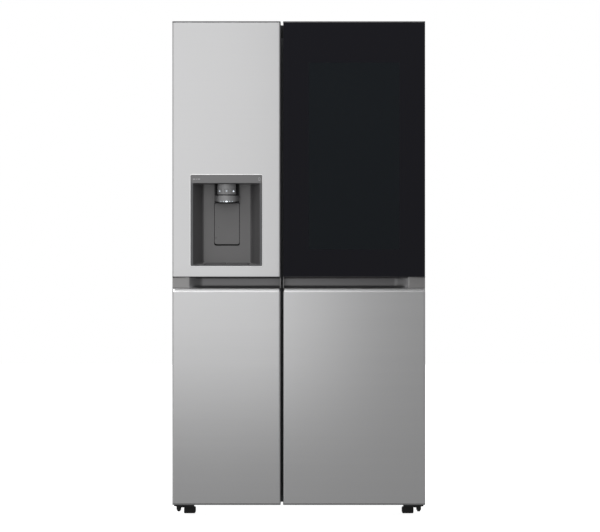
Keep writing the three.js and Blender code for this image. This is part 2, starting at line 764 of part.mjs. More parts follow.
/** A front levelling foot with its screwed stem. */
function levellingFoot(side) {
  const x = side * (caseSide - FOOT_INSET);
  const y = caseFrontY + FOOT_SETBACK;
  const pad = prism(
    roundedRectangle(grown([x, x], FOOT_SIZE / 2), [0, FOOT_HEIGHT], 5),
    'y',
    grown([y, y], FOOT_SIZE / 2),
  );
  const stem = rod('z', [x, y], STEM_RADIUS, [FOOT_HEIGHT - 2, CASE_LIFT + CHASSIS_RIM - 2], 16);
  return pad.add(stem);
}

/** A rear roller with its bore. */
function rearRoller(side) {
  const x = side * (caseSide - ROLLER_INSET);
  const centre = [caseRearY - ROLLER_SETBACK, ROLLER_RADIUS];
  const wheel = rod('x', centre, ROLLER_RADIUS, grown([x, x], ROLLER_WIDTH / 2));
  const bore = rod('x', centre, AXLE_RADIUS + 0.6, grown([x, x], ROLLER_WIDTH), 16);
  return wheel.subtract(bore);
}

// ---------------------------------------------------------------- doors
/** A door's plan outline with round front edges, set in by some sheet, down to a back Y. */
function doorPlan({ door }, inset, backY) {
  const [x0, x1] = grown(door, -inset);
  const y0 = frontY + inset;
  const radius = DOOR_ROUND - Math.min(inset, DOOR_ROUND - 1);
  const shape = new THREE.Shape();
  shape.moveTo(x0, backY);
  shape.lineTo(x0, y0 + radius);
  shape.absarc(x0 + radius, y0 + radius, radius, Math.PI, (3 * Math.PI) / 2, false);
  shape.lineTo(x1 - radius, y0);
  shape.absarc(x1 - radius, y0 + radius, radius, (3 * Math.PI) / 2, 2 * Math.PI, false);
  shape.lineTo(x1, backY);
  return shape;
}

/** The room round the upper hinge's arm, open at the door's top, back and hinge side. */
function hingeNotch({ hingeX, side }) {
  return block(
    span(hingeX + side * (HINGE_INSET + 1), hingeX - side * (ARM_HALF + NOTCH_CLEARANCE)),
    [frontY + NOTCH_SKIN, doorBackY + 1],
    [HEIGHT - NOTCH_DEPTH, HEIGHT + 1],
  );
}

/** The wedge that slopes the lower panel's top edge back into the handle pocket. */
function bevelWedge(drop) {
  const rise = HANDLE_BEVEL + drop + 3;
  const topZ = HANDLE_FLOOR + 2;
  return prism(
    outline([
      [frontY - 1, topZ - rise],
      [frontY - 1 + rise, topZ],
      [frontY - 1, topZ],
    ]),
    'x',
    [-WIDTH, WIDTH],
  );
}

/** A steel skin round the front and sides of a door, from one height to another. */
function doorSkin(leaf, zSpan) {
  const outer = prism(doorPlan(leaf, 0, doorBackY - DOOR_RIM - GAP), 'z', zSpan);
  const inner = prism(doorPlan(leaf, DOOR_SHEET, doorBackY), 'z', grown(zSpan, 1));
  return outer.subtract(inner);
}

/** The steel skin under the handle pocket, its top edge sloped back. */
function lowerPanel(leaf) {
  const zSpan = [capFoot + GAP, HANDLE_FLOOR];
  const outer = prism(doorPlan(leaf, 0, doorBackY - DOOR_RIM - GAP), 'z', zSpan);
  const inner = prism(doorPlan(leaf, DOOR_SHEET, doorBackY), 'z', grown(zSpan, 1));
  return outer.subtract(bevelWedge(0)).subtract(inner.subtract(bevelWedge(BEVEL_SHEET)));
}

const dispenserX = grown([middle(freezer.door), middle(freezer.door)], DISPENSER_WIDTH / 2);
const dispenserZ = [
  handleTop + DISPENSER_RISE,
  handleTop + DISPENSER_RISE + DISPENSER_HEIGHT,
];
const nicheTop = dispenserZ[1] - HEADER_HEIGHT;
const nicheBackY = frontY + NICHE_DEPTH;
const nicheX = grown(dispenserX, -(NICHE_RIM + NICHE_TAPER));
const chuteZ = [nicheTop - CHUTE_DROP - CHUTE_HEIGHT, nicheTop - CHUTE_DROP];
const leverPivotZ = nicheTop - NOZZLE_HEIGHT + 2;
const leverX = grown([middle(dispenserX), middle(dispenserX)], LEVER_WIDTH / 2);

/** The freezer's steel skin over the handle pocket, cut out for the dispenser. */
function freezerUpperPanel() {
  const skin = doorSkin(freezer, [handleTop + GAP, capTop - GAP]);
  const mouth = block(
    grown(dispenserX, GAP),
    [frontY - 1, frontY + DOOR_ROUND],
    grown(dispenserZ, GAP),
  );
  return cut(skin, [mouth, hingeNotch(freezer)]);
}

/** The black glass that makes the fridge door's front over the handle pocket. */
function glassPanel() {
  const glass = prism(
    doorPlan(fridge, 0, frontY + DOOR_ROUND + GLASS),
    'z',
    [handleTop + GAP, capTop - GAP],
  );
  const behind = block(
    grown(fridge.door, 1),
    [frontY + GLASS, frontY + 40],
    [0, HEIGHT],
  );
  return glass.subtract(behind);
}

const windowX = grown(fridge.door, -WINDOW_SIDE);
const windowZ = [handleTop + WINDOW_FOOT, HEIGHT - WINDOW_TOP];

/** The insulated window's inner pane, set in the fridge door's inner face. */
function innerWindowPane() {
  return block(
    grown(windowX, PANE_SEAT - GAP),
    [doorBackY - GLASS, doorBackY],
    grown(windowZ, PANE_SEAT - GAP),
  );
}

/** The foamed body of a door: core, caps, back rim, and the ribs that hold the bins. */
function doorBody(leaf) {
  const { door, room, side } = leaf;
  const innerSheet = DOOR_SHEET + GAP;
  const core = prism(doorPlan(leaf, innerSheet, doorBackY), 'z', [DOOR_LIFT + 1, HEIGHT - 1]);
  const caps = [
    [DOOR_LIFT, capFoot],
    [capTop, HEIGHT],
  ].map((zSpan) => prism(doorPlan(leaf, 0, doorBackY), 'z', zSpan));
  const rim = block(door, [doorBackY - DOOR_RIM, doorBackY], [DOOR_LIFT, HEIGHT]);
  const ribY = [doorBackY - 1, doorBackY + RIB_DEPTH];
  const ribZ = [roomFloor + RIB_END, roomTop - RIB_END];
  const ribSpans = ribPlaces(leaf);
  const ribs = ribSpans.map((xSpan) => block(xSpan, ribY, ribZ));
  const pocket = block(grown(door, 1), [frontY - 1, frontY + HANDLE_DEPTH + HANDLE_WALL + GAP], [
    HANDLE_FLOOR - GAP,
    handleTop + GAP,
  ]);
  const pins = rod('z', [leaf.hingeX, hingeY], PIN_RADIUS + PIN_CLEARANCE, [
    HEIGHT - NOTCH_DEPTH - PIN_REACH - 2,
    HEIGHT,
  ]);
  const lowerPin = rod('z', [leaf.hingeX, hingeY], PIN_RADIUS + PIN_CLEARANCE, [
    0,
    DOOR_LIFT + PIN_REACH + 2,
  ]);
  const whole = joined([core, ...caps, rim, ...ribs]);
  return cut(whole, [pocket, bevelWedge(BEVEL_SHEET + GAP), hingeNotch(leaf), pins, lowerPin]);
}

/** The X spans of a door's two inner ribs: hinge side, then free side. */
function ribPlaces(leaf) {
  const hingeSide = leaf.roomOuterU + RIB_INSET;
  const freeSide = freeReach(leaf, doorBackY + RIB_DEPTH);
  return [
    span(leaf.at(hingeSide), leaf.at(hingeSide + RIB_WIDTH)),
    span(leaf.at(freeSide), leaf.at(freeSide - RIB_WIDTH)),
  ];
}

/** The freezer door's body, with room for the dispenser and the ice chute. */
function freezerDoorBody() {
  const bulge = block(
    grown(nicheX, 20),
    [doorBackY - 1, doorBackY + 18],
    [dispenserZ[0] + 10, iceFloor - GAP - 4],
  );
  const frame = block(
    grown(dispenserX, GAP),
    [frontY, frontY + DISPENSER_WALL + 2],
    grown(dispenserZ, GAP),
  );
  const shell = taperedBlock(...nicheRectangles(DISPENSER_WALL + GAP + 0.5), [
    frontY,
    nicheBackY + DISPENSER_WALL + GAP,
  ]);
  const header = block(
    grown(dispenserX, 1 - HEADER_INSET),
    [frontY, nicheBackY + DISPENSER_WALL + GAP],
    [nicheTop - 2, dispenserZ[1] - HEADER_INSET + 1.5],
  );
  const recess = block(
    grown(leverX, LEVER_CLEARANCE + DISPENSER_WALL + GAP),
    [nicheBackY, nicheBackY + LEVER_RECESS + DISPENSER_WALL + GAP],
    [
      leverPivotZ - LEVER_HEIGHT - LEVER_CLEARANCE - DISPENSER_WALL - GAP,
      leverPivotZ + LEVER_CLEARANCE + DISPENSER_WALL + GAP,
    ],
  );
  return cut(doorBody(freezer).add(bulge), [frame, shell, header, recess, chute(0)]);
}

/** The sloping hollow from the ice bin down to the nozzle, grown by a wall. */
function chute(grow) {
  const rearTop = iceFloor + 1;
  return prism(
    outline([
      [nicheBackY - 1, chuteZ[0] - grow],
      [nicheBackY + DISPENSER_WALL + 6, chuteZ[0] - grow],
      [doorBackY + 14, rearTop - 30],
      [doorBackY + 14, rearTop],
      [doorBackY - 22, rearTop],
      [nicheBackY + DISPENSER_WALL + 6, chuteZ[1] + grow],
      [nicheBackY - 1, chuteZ[1] + grow],
    ]),
    'x',
    grown([middle(dispenserX), middle(dispenserX)], CHUTE_WIDTH / 2 + grow),
  );
}

/** The niche's mouth and back rectangles, grown by a wall. */
function nicheRectangles(grow) {
  const mouth = [
    grown(dispenserX, -NICHE_RIM + grow),
    [dispenserZ[0] + NICHE_FLOOR - Math.min(grow, NICHE_FLOOR - 1), nicheTop + grow],
  ];
  const back = [grown(nicheX, grow), [
    dispenserZ[0] + NICHE_FLOOR + NICHE_FLOOR_SLOPE - grow,
    nicheTop + grow,
  ]];
  return [mouth, back];
}

/** The dispenser's moulded niche, its front frame and the header over it. */
function dispenserHousing() {
  const frame = block(dispenserX, [frontY, frontY + DISPENSER_WALL], dispenserZ);
  const shell = taperedBlock(...nicheRectangles(DISPENSER_WALL), [
    frontY + 1,
    nicheBackY + DISPENSER_WALL,
  ]);
  const header = block(
    grown(dispenserX, -HEADER_INSET),
    [frontY + 1, nicheBackY + DISPENSER_WALL],
    [nicheTop, dispenserZ[1] - HEADER_INSET + 1],
  );
  const recessBox = block(
    grown(leverX, LEVER_CLEARANCE + DISPENSER_WALL),
    [nicheBackY, nicheBackY + LEVER_RECESS + DISPENSER_WALL],
    [
      leverPivotZ - LEVER_HEIGHT - LEVER_CLEARANCE - DISPENSER_WALL,
      leverPivotZ + LEVER_CLEARANCE + DISPENSER_WALL,
    ],
  );
  const niche = taperedBlock(...nicheRectangles(0), [frontY - 0.01, nicheBackY]);
  const leverRoom = block(
    grown(leverX, LEVER_CLEARANCE),
    [nicheBackY - 1, nicheBackY + LEVER_RECESS],
    [leverPivotZ - LEVER_HEIGHT - LEVER_CLEARANCE, leverPivotZ + LEVER_CLEARANCE],
  );
  const outlet = block(
    grown([middle(dispenserX), middle(dispenserX)], CHUTE_WIDTH / 2),
    [nicheBackY - 1, nicheBackY + DISPENSER_WALL + 1],
    chuteZ,
  );
  return cut(joined([frame, shell, header, recessBox]), [niche, leverRoom, outlet]);
}

const nozzleCentre = [middle(dispenserX), nicheBackY - 4];

/** A piece of a ring about the nozzle's upright middle, between two angles from the front. */
function ringSector(inner, outer, [fromAngle, toAngle], zSpan) {
  const start = THREE.MathUtils.degToRad(fromAngle - 90);
  const end = THREE.MathUtils.degToRad(toAngle - 90);
  const [x, y] = nozzleCentre;
  const shape = new THREE.Shape();
  shape.absarc(x, y, outer, start, end, false);
  shape.absarc(x, y, inner, end, start, true);
  return prism(shape, 'z', zSpan);
}

const nozzleZ = [nicheTop - NOZZLE_HEIGHT, nicheTop - GAP];
const keyZ = [nozzleZ[0] + KEY_RISE, nozzleZ[0] + KEY_RISE + KEY_HEIGHT];

/** The round front of the dispenser that ice and water come out of, open underneath. */
function nozzleHousing() {
  const [x, y] = nozzleCentre;
  const backY = nicheBackY - GAP;
  const plan = (radius) => {
    const shape = new THREE.Shape();
    shape.moveTo(x + radius, backY);
    shape.lineTo(x - radius, backY);
    shape.lineTo(x - radius, y);
    shape.absarc(x, y, radius, Math.PI, 2 * Math.PI, false);
    return shape;
  };
  const steps = 16;
  const extrude = (radius, [from, to]) => {
    const geometry = new THREE.ExtrudeGeometry(plan(radius), {
      depth: to - from,
      bevelEnabled: false,
      curveSegments: steps,
    });
    geometry.translate(0, 0, from);
    return solid(geometry);
  };
  const inner = NOZZLE_RADIUS - DISPENSER_WALL;
  const hollow = extrude(inner, [nozzleZ[0] - 1, nozzleZ[1] - DISPENSER_WALL]);
  const rearSlot = block(grown([x, x], inner), [backY - 1, backY + 1], [
    nozzleZ[0] - 1,
    nozzleZ[1] - DISPENSER_WALL,
  ]);
  const keyHoles = [-1, 0, 1].map((place) => ringSector(
    NOZZLE_RADIUS - 10,
    NOZZLE_RADIUS + 4,
    grown([place * KEY_ANGLE, place * KEY_ANGLE], KEY_SPAN / 2 + 0.7),
    grown(keyZ, KEY_CLEARANCE),
  ));
  return cut(extrude(NOZZLE_RADIUS, nozzleZ), [hollow, rearSlot, ...keyHoles]);
}

/** One mode key in the nozzle's face. */
function modeKey(place) {
  return ringSector(
    NOZZLE_RADIUS - KEY_THICKNESS,
    NOZZLE_RADIUS + KEY_PROUD,
    grown([place * KEY_ANGLE, place * KEY_ANGLE], KEY_SPAN / 2),
    keyZ,
  );
}

/** The paddle that a glass is pushed against, hung from a pin across its top. */
function dispenserLever() {
  const pivotY = nicheBackY + 3;
  const plate = prism(
    roundedRectangle(leverX, [leverPivotZ - LEVER_HEIGHT, leverPivotZ], 6),
    'y',
    grown([pivotY, pivotY], LEVER_THICKNESS / 2),
  );
  const bar = rod('x', [pivotY, leverPivotZ], LEVER_THICKNESS / 2 + 0.5, grown(leverX, 3), 12);
  return plate.add(bar);
}

/** The flap that shuts the ice chute, hung from its upper edge. */
function iceChuteFlap() {
  const flapY = nicheBackY - GAP - FLAP_THICKNESS;
  const x = middle(dispenserX);
  return block(
    grown([x, x], CHUTE_WIDTH / 2 + 3),
    [flapY, flapY + FLAP_THICKNESS],
    grown(chuteZ, 3),
  );
}

/** The pocket handle between a door's upper and lower panels. */
function handleChannel(leaf) {
  const [y0, y1] = [frontY + 1.5, frontY + HANDLE_DEPTH + HANDLE_WALL];
  const zSpan = [HANDLE_FLOOR, handleTop];
  const floorY = frontY + HANDLE_BEVEL;
  const whole = prism(
    outline([
      [floorY, zSpan[0]],
      [y1, zSpan[0]],
      [y1, zSpan[1]],
      [y0, zSpan[1]],
      [y0, zSpan[0] + HANDLE_WALL],
      [floorY, zSpan[0] + HANDLE_WALL],
    ]),
    'x',
    leaf.door,
  );
  const hollow = block(
    span(leaf.outerX - leaf.side * HANDLE_END, leaf.freeX + leaf.side * HANDLE_WALL),
    [y0 - 5, frontY + HANDLE_DEPTH],
    grown(zSpan, -HANDLE_WALL),
  );
  return whole.subtract(hollow);
}

/** The magnetic seal round a door's inner face. */
function doorSeal({ room }) {
  const inner = [grown(room, SEAL_MARGIN), grown([roomFloor, roomTop], SEAL_MARGIN)];
  const outer = inner.map((one) => grown(one, SEAL_WIDTH));
  const y = [doorBackY + GAP, doorBackY + SEAL_CLEARANCE + SEAL_THICKNESS];
  const ring = prism(roundedRectangle(...outer, SEAL_OUTER_ROUND), 'y', y);
  return ring.subtract(prism(roundedRectangle(...inner, SEAL_INNER_ROUND), 'y', grown(y, 1)));
}

/** The fridge door's body, with the window through it. */
function fridgeDoorBody() {
  const window = block(windowX, [frontY - 1, doorBackY + 1], windowZ);
  const paneSeat = block(
    grown(windowX, PANE_SEAT),
    [doorBackY - GLASS - GAP, doorBackY + 1],
    grown(windowZ, PANE_SEAT),
  );
  const glassRoom = block(
    grown(fridge.door, 1),
    [frontY - 1, frontY + GLASS + GAP],
    [handleTop, capTop],
  );
  return cut(doorBody(fridge), [window, paneSeat, glassRoom]);
}

// ---------------------------------------------------------------- what the doors carry
/** The plan of a container on a door, between the ribs and narrower at its front. */
function carriedPlan(leaf, inset, frontLimit) {
  const rearY = doorBackY + GAP + inset;
  const hingeU = leaf.roomOuterU + RIB_INSET + RIB_WIDTH + BIN_PLAY + inset;
  const rearU = freeReach(leaf, doorBackY + RIB_DEPTH) - RIB_WIDTH - BIN_PLAY - inset;
  const frontU = Math.min(rearU, freeReach(leaf, frontLimit) - 2 - inset);
  const tip = frontLimit - inset;
  const radius = BIN_ROUND - Math.min(inset * 2, BIN_ROUND - 4);
  const points = [
    [leaf.at(hingeU), rearY],
    [leaf.at(rearU), rearY],
    [leaf.at(rearU), doorBackY + BIN_SHOULDER],
    [leaf.at(frontU), tip - radius],
    [leaf.at(frontU - radius), tip],
    [leaf.at(hingeU + radius), tip],
    [leaf.at(hingeU), tip - radius],
  ];
  return outline(leaf.side < 0 ? points : points.reverse());
}

/** An open container that hangs between a door's ribs. */
function doorTub(leaf, zSpan, frontLimit = binFrontY) {
  const outer = prism(carriedPlan(leaf, 0, frontLimit), 'z', zSpan);
  const inner = prism(carriedPlan(leaf, BIN_WALL, frontLimit), 'z', [
    zSpan[0] + BIN_WALL,
    zSpan[1] + 1,
  ]);
  return outer.subtract(inner);
}

const iceFloor = dispenserZ[1] + ICE_RISE;
const iceTop = roomTop - ICE_DROP;
const iceMakerFloor = Math.max(iceTop - ICE_MAKER_HEIGHT, middle([iceFloor, iceTop]));

/** The ice maker's case at the top of the freezer door, open at the top. */
function iceMaker() {
  return doorTub(freezer, [iceMakerFloor, iceTop]);
}

/** The ice bin under the ice maker, with its outlet over the chute. */
function iceBin() {
  const bucket = doorTub(freezer, [iceFloor + 2, iceMakerFloor - ICE_GAP]);
  const outlet = block(
    grown([middle(dispenserX), middle(dispenserX)], CHUTE_WIDTH / 2),
    [doorBackY + GAP + BIN_WALL, doorBackY + 14],
    [iceFloor, iceFloor + BIN_WALL + 3],
  );
  return bucket.subtract(outlet);
}

/** Evenly spaced floors for a number of bins between two heights. */
function spacedFloors(count, [low, high]) {
  const pitch = (high - low) / count;
  return Array.from({ length: count }, (_, i) => low + i * pitch);
}

const binRoomLow = [roomFloor + LOW_BIN_RISE, HANDLE_FLOOR + LOW_BIN_LIMIT];
const freezerBinFloors = spacedFloors(2, binRoomLow);
const fridgeBinFloors = [
  ...spacedFloors(2, binRoomLow),
  ...spacedFloors(2, [windowZ[0] + HIGH_BIN_RISE, roomTop - HIGH_BIN_LIMIT]),
];

// ---------------------------------------------------------------- shelves and drawers
const drawerFloors = [
  roomFloor + DRAWER_SPACE,
  Math.max(roomFloor + 2 * DRAWER_SPACE + LOWER_DRAWER_HEIGHT, stepTop + DRAWER_SPACE),
];
const drawerCoverZ = drawerFloors[1] + UPPER_DRAWER_HEIGHT + DRAWER_SPACE;

/** How far back the shelves and the upper drawer of a compartment may reach. */
function rearLimit(leaf) {
  return leaf.side < 0 ? airPanelY - 4 : roomRearY - 30;
}

/** The two sliding drawers of a compartment: the lower one stops at the floor step. */
function drawer(leaf, upper) {
  const floorZ = drawerFloors[upper ? 1 : 0];
  const height = upper ? UPPER_DRAWER_HEIGHT : LOWER_DRAWER_HEIGHT;
  const backY = (upper ? rearLimit(leaf) : stepY) - DRAWER_REAR;
  return tub(
    grown(leaf.room, -DRAWER_SIDE),
    [shelfFrontY, backY],
    [floorZ, floorZ + height],
    DRAWER_WALL,
    DRAWER_ROUND,
  );
}

/** A shelf's floor height: the lowest one covers the drawers, the others share the rest. */
function shelfFloors(count) {
  const pitch = (roomTop - drawerCoverZ) / count;
  return Array.from({ length: count }, (_, i) => drawerCoverZ + i * pitch);
}

/** A flat shelf with a raised front trim. */
function shelf(leaf, z) {
  const xSpan = grown(leaf.room, -SHELF_SIDE);
  const plate = block(xSpan, [shelfFrontY + 4, rearLimit(leaf)], [z, z + SHELF_THICKNESS]);
  const trim = block(xSpan, [shelfFrontY, shelfFrontY + 8], [z - 3, z + SHELF_THICKNESS + 6]);
  return plate.add(trim);
}

// ---------------------------------------------------------------- the assembly
add('outer_case', outerCase(), 'caseGrey');
add('back_panel', backPanel(), 'galvanised');
add('insulation_foam', insulationFoam(), 'foam');
add('freezer_liner', liner(freezer), 'whitePlastic');
add('fridge_liner', liner(fridge), 'whitePlastic');
add('top_cover', topCover(), 'blackPlastic');
add('base_frame', baseFrame(), 'galvanised');
add('machine_cover', machineCover(), 'blackPlastic');
add('compressor', compressor(), 'blackSteel');
add('condenser', condenser(), 'blackSteel');
add('evaporator', evaporator(), 'aluminium');
add('freezer_rear_panel', freezerRearPanel(), 'whitePlastic');
add('fridge_duct_panel', fridgeDuctPanel(), 'whitePlastic');

shelfFloors(3).forEach((z, i) => add(`freezer_shelf_${i + 1}`, shelf(freezer, z), 'clearGlass'));
shelfFloors(4).forEach((z, i) => add(`fridge_shelf_${i + 1}`, shelf(fridge, z), 'clearGlass'));
['lower', 'upper'].forEach((place, i) => {
  add(`freezer_${place}_drawer`, drawer(freezer, i === 1), 'clearPlastic');
  add(`fridge_${place}_crisper`, drawer(fridge, i === 1), 'clearPlastic');
});

[
  ['freezer', freezer],
  ['fridge', fridge],
].forEach(([name, leaf]) => {
  add(`${name}_upper_hinge`, upperHinge(leaf), 'blackSteel');
  add(`${name}_lower_hinge`, lowerHinge(leaf), 'blackSteel');
  add(`${name}_lower_panel`, lowerPanel(leaf), 'brushedSteel');
  add(`${name}_handle_channel`, handleChannel(leaf), 'darkGreyPlastic');
  add(`${name}_door_seal`, doorSeal(leaf), 'sealGrey');
});
[
  ['left', -1],
  ['right', 1],
].forEach(([name, side]) => {
  add(`${name}_front_foot`, levellingFoot(side), 'blackPlastic');
  add(`${name}_rear_roller`, rearRoller(side), 'blackPlastic');
});

const machineMiddleY = middle([machineFrontY, caseRearY]);
add(
  'condenser_fan',
  fan(0, CASE_LIFT + CONDENSER_FAN_RISE + FAN_RADIUS, grown([machineMiddleY, machineMiddleY], 12)),
  'blackPlastic',
);
const fanBackY = airPanelY + AIR_PANEL;
add(
  'evaporator_fan',
  fan(middle(freezer.room), evaporatorFanZ, [fanBackY + 8, fanBackY + 28]),
  'whitePlastic',
);

add('freezer_door_body', freezerDoorBody(), 'whitePlastic');
add('freezer_upper_panel', freezerUpperPanel(), 'brushedSteel');
add('dispenser_housing', dispenserHousing(), 'darkGreyPlastic');
add('nozzle_housing', nozzleHousing(), 'darkGreyPlastic');
add('dispenser_lever', dispenserLever(), 'darkGreyPlastic');
add('ice_chute_flap', iceChuteFlap(), 'blackPlastic');
['water_key', 'cubed_ice_key', 'crushed_ice_key'].forEach((name, i) => {
  add(name, modeKey(i - 1), 'darkGreyPlastic');
});
add('ice_maker', iceMaker(), 'whitePlastic');
add('ice_bin', iceBin(), 'clearPlastic');
freezerBinFloors.forEach((z, i) => {
  add(`freezer_door_bin_${i + 1}`, doorTub(freezer, [z, z + BIN_HEIGHT]), 'clearPlastic');
});

add('fridge_door_body', fridgeDoorBody(), 'whitePlastic');
add('glass_panel', glassPanel(), 'blackGlass');
add('inner_window_pane', innerWindowPane(), 'clearGlass');
fridgeBinFloors.forEach((z, i) => {
  add(`fridge_door_bin_${i + 1}`, doorTub(fridge, [z, z + BIN_HEIGHT]), 'clearPlastic');
});

export default refrigerator;
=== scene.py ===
"""The looks of a side by side refrigerator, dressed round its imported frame.

Lengths are metres, +Z is up, the door fronts face -Y and +X is to the right from the front.
Surfaces are worked out with numpy as rings of points or grids, and finishes are node
materials that read Object coordinates.
"""

import enum
import functools
import json
import logging
import math
from collections.abc import Callable, Sequence
from dataclasses import dataclass, field

import bmesh
import bpy
import numpy as np
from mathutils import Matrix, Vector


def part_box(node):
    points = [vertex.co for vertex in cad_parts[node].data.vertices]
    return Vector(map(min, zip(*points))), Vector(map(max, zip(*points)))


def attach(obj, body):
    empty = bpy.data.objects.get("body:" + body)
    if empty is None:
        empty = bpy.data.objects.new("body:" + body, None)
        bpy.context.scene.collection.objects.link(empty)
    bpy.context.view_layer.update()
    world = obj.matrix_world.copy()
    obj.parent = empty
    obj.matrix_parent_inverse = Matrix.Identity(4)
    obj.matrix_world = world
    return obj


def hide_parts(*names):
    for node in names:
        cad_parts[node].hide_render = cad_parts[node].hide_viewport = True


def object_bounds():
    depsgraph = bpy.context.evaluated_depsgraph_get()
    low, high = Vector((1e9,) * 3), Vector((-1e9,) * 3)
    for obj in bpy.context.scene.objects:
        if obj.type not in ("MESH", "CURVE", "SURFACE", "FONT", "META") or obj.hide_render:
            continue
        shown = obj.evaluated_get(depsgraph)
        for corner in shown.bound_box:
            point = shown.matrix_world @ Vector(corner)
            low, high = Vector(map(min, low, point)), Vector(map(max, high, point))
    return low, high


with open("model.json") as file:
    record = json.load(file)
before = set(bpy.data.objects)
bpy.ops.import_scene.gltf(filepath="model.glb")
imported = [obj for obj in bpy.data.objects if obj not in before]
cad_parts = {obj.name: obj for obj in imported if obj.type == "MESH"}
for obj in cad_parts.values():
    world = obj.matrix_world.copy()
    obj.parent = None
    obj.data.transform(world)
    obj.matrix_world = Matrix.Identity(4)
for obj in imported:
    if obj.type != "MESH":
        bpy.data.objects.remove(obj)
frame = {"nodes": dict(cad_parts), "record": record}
CAD_BOX = [list(corner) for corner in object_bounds()]

log = logging.getLogger("refrigerator")

MM = 0.001
Span = tuple[float, float]
Colour = tuple[float, float, float]
Stretch = tuple[float, float, float]
Zones = Callable[[np.ndarray, np.ndarray], np.ndarray]
MERGE_NEW = 0.02 * MM
MERGE_CAD = 0.01 * MM
FLAT_WITHIN = math.radians(0.6)
BEVEL_FROM = math.radians(30)
NODE_BODY = {node: body for body, nodes in frame["record"]["behaviour"]["bodies"].items() for node in nodes}
NODE_SLOT = {part["node"]: part["material_slot"] for part in frame["record"]["subparts"]}


class Axis(enum.Enum):
    """The axis that a stack of rings, a turned shape or a row runs along."""

    X = 0
    Y = 1
    Z = 2


# ------------------------------------------------------------------------------- surfaces


@dataclass
class Surface:
    """Points and the faces between them."""

    points: np.ndarray
    faces: list[tuple[int, ...]]

    def __add__(self, other: "Surface") -> "Surface":
        """Both surfaces as one."""
        shift = len(self.points)
        moved = [tuple(i + shift for i in face) for face in other.faces]
        return Surface(np.vstack([self.points, other.points]), self.faces + moved)


def joined(surfaces: Sequence[Surface]) -> Surface:
    """Adds surfaces up into one."""
    return functools.reduce(lambda a, b: a + b, surfaces)


def grown(span: Span, by: float) -> Span:
    """The span with both ends moved outwards."""
    return span[0] - by, span[1] + by


def about(middle: float, half: float) -> Span:
    """The span that reaches the same way to either side of a middle."""
    return middle - half, middle + half


def smooth_step(share: np.ndarray) -> np.ndarray:
    """The cubic 3t² - 2t³ of a share held between 0 and 1."""
    t = np.clip(share, 0, 1)
    return t**2 * (3 - 2 * t)


def node_spans(node: str) -> tuple[Span, Span, Span]:
    """The x, y and z spans of a CAD node."""
    low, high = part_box(node)
    return (low.x, high.x), (low.y, high.y), (low.z, high.z)


def grid_quads(rows: int, columns: int, wrap_rows: bool = False, wrap_columns: bool = False) -> np.ndarray:
    """Corner numbers of the quads of a grid whose points run along each row first.

    Args:
        rows: Number of rows of points.
        columns: Points in each row.
        wrap_rows: Joins the last row to the first.
        wrap_columns: Joins the last column to the first.

    Returns:
        An array of shape (rows of quads, columns of quads, 4).
    """
    row, column = np.meshgrid(
        np.arange(rows if wrap_rows else rows - 1),
        np.arange(columns if wrap_columns else columns - 1),
        indexing="ij",
    )
    next_row, next_column = (row + 1) % rows, (column + 1) % columns
    corners = [
        row * columns + column,
        row * columns + next_column,
        next_row * columns + next_column,
        next_row * columns + column,
    ]
    return np.stack(corners, axis=-1)


def grid_surface(points: np.ndarray, keep: np.ndarray | None = None) -> Surface:
    """An open sheet over a grid of points, less the cells that keep leaves out.

    Args:
        points: Array of shape (rows, columns, 3).
        keep: Optional mask of the cells, shape (rows - 1, columns - 1).

    Returns:
        The sheet.
    """
    quads = grid_quads(points.shape[0], points.shape[1])
    quads = quads[keep] if keep is not None else quads.reshape(-1, 4)
    return Surface(points.reshape(-1, 3), [tuple(q) for q in quads.tolist()])


def placed(loop: np.ndarray, level: float, axis: Axis) -> np.ndarray:
    """Lifts a flat loop of (u, v) into space: u and v are the other two axes in order."""
    others = [i for i in range(3) if i != axis.value]
    points = np.empty((len(loop), 3))
    points[:, others[0]], points[:, others[1]] = loop[:, 0], loop[:, 1]
    points[:, axis.value] = level
    return points


def ring_stack(
    rings: Sequence[np.ndarray], wrap: bool = False, caps: tuple[bool, bool] = (True, True)
) -> Surface:
    """Joins rings with the same number of points by bands of quads.

    Args:
        rings: Loops of shape (n, 3), in order.
        wrap: Joins the last ring to the first, as in a frame; no caps are made then.
        caps: Whether the first and the last ring are closed by a flat face.

    Returns:
        The banded surface.
    """
    count, size = len(rings), len(rings[0])
    quads = grid_quads(count, size, wrap_rows=wrap, wrap_columns=True).reshape(-1, 4)
    faces = [tuple(q) for q in quads.tolist()]
    if caps[0] and not wrap:
        faces.append(tuple(range(size - 1, -1, -1)))
    if caps[1] and not wrap:
        faces.append(tuple(range((count - 1) * size, count * size)))
    return Surface(np.vstack(rings), faces)


def rounded_loop(u: Span, v: Span, radius: float, steps: int = 5) -> np.ndarray:
    """A rectangle with round corners: each corner's centre plus the radius times (cos, sin).

    Args:
        u: Span along the first axis.
        v: Span along the second axis.
        radius: Corner radius, held under half of the shorter side.
        steps: Segments in each corner.

    Returns:
        Points of shape (4 * (steps + 1), 2), anticlockwise from the right side.
    """
    radius = max(min(radius, (u[1] - u[0]) / 2.001, (v[1] - v[0]) / 2.001), 1e-6)
    angle = np.radians(90 * np.arange(4)[:, None] + np.linspace(0, 90, steps + 1)[None, :])
    centre_u = np.array([u[1] - radius, u[0] + radius, u[0] + radius, u[1] - radius])[:, None]
    centre_v = np.array([v[1] - radius, v[1] - radius, v[0] + radius, v[0] + radius])[:, None]
    loop = np.stack([centre_u + radius * np.cos(angle), centre_v + radius * np.sin(angle)], axis=-1)
    return loop.reshape(-1, 2)


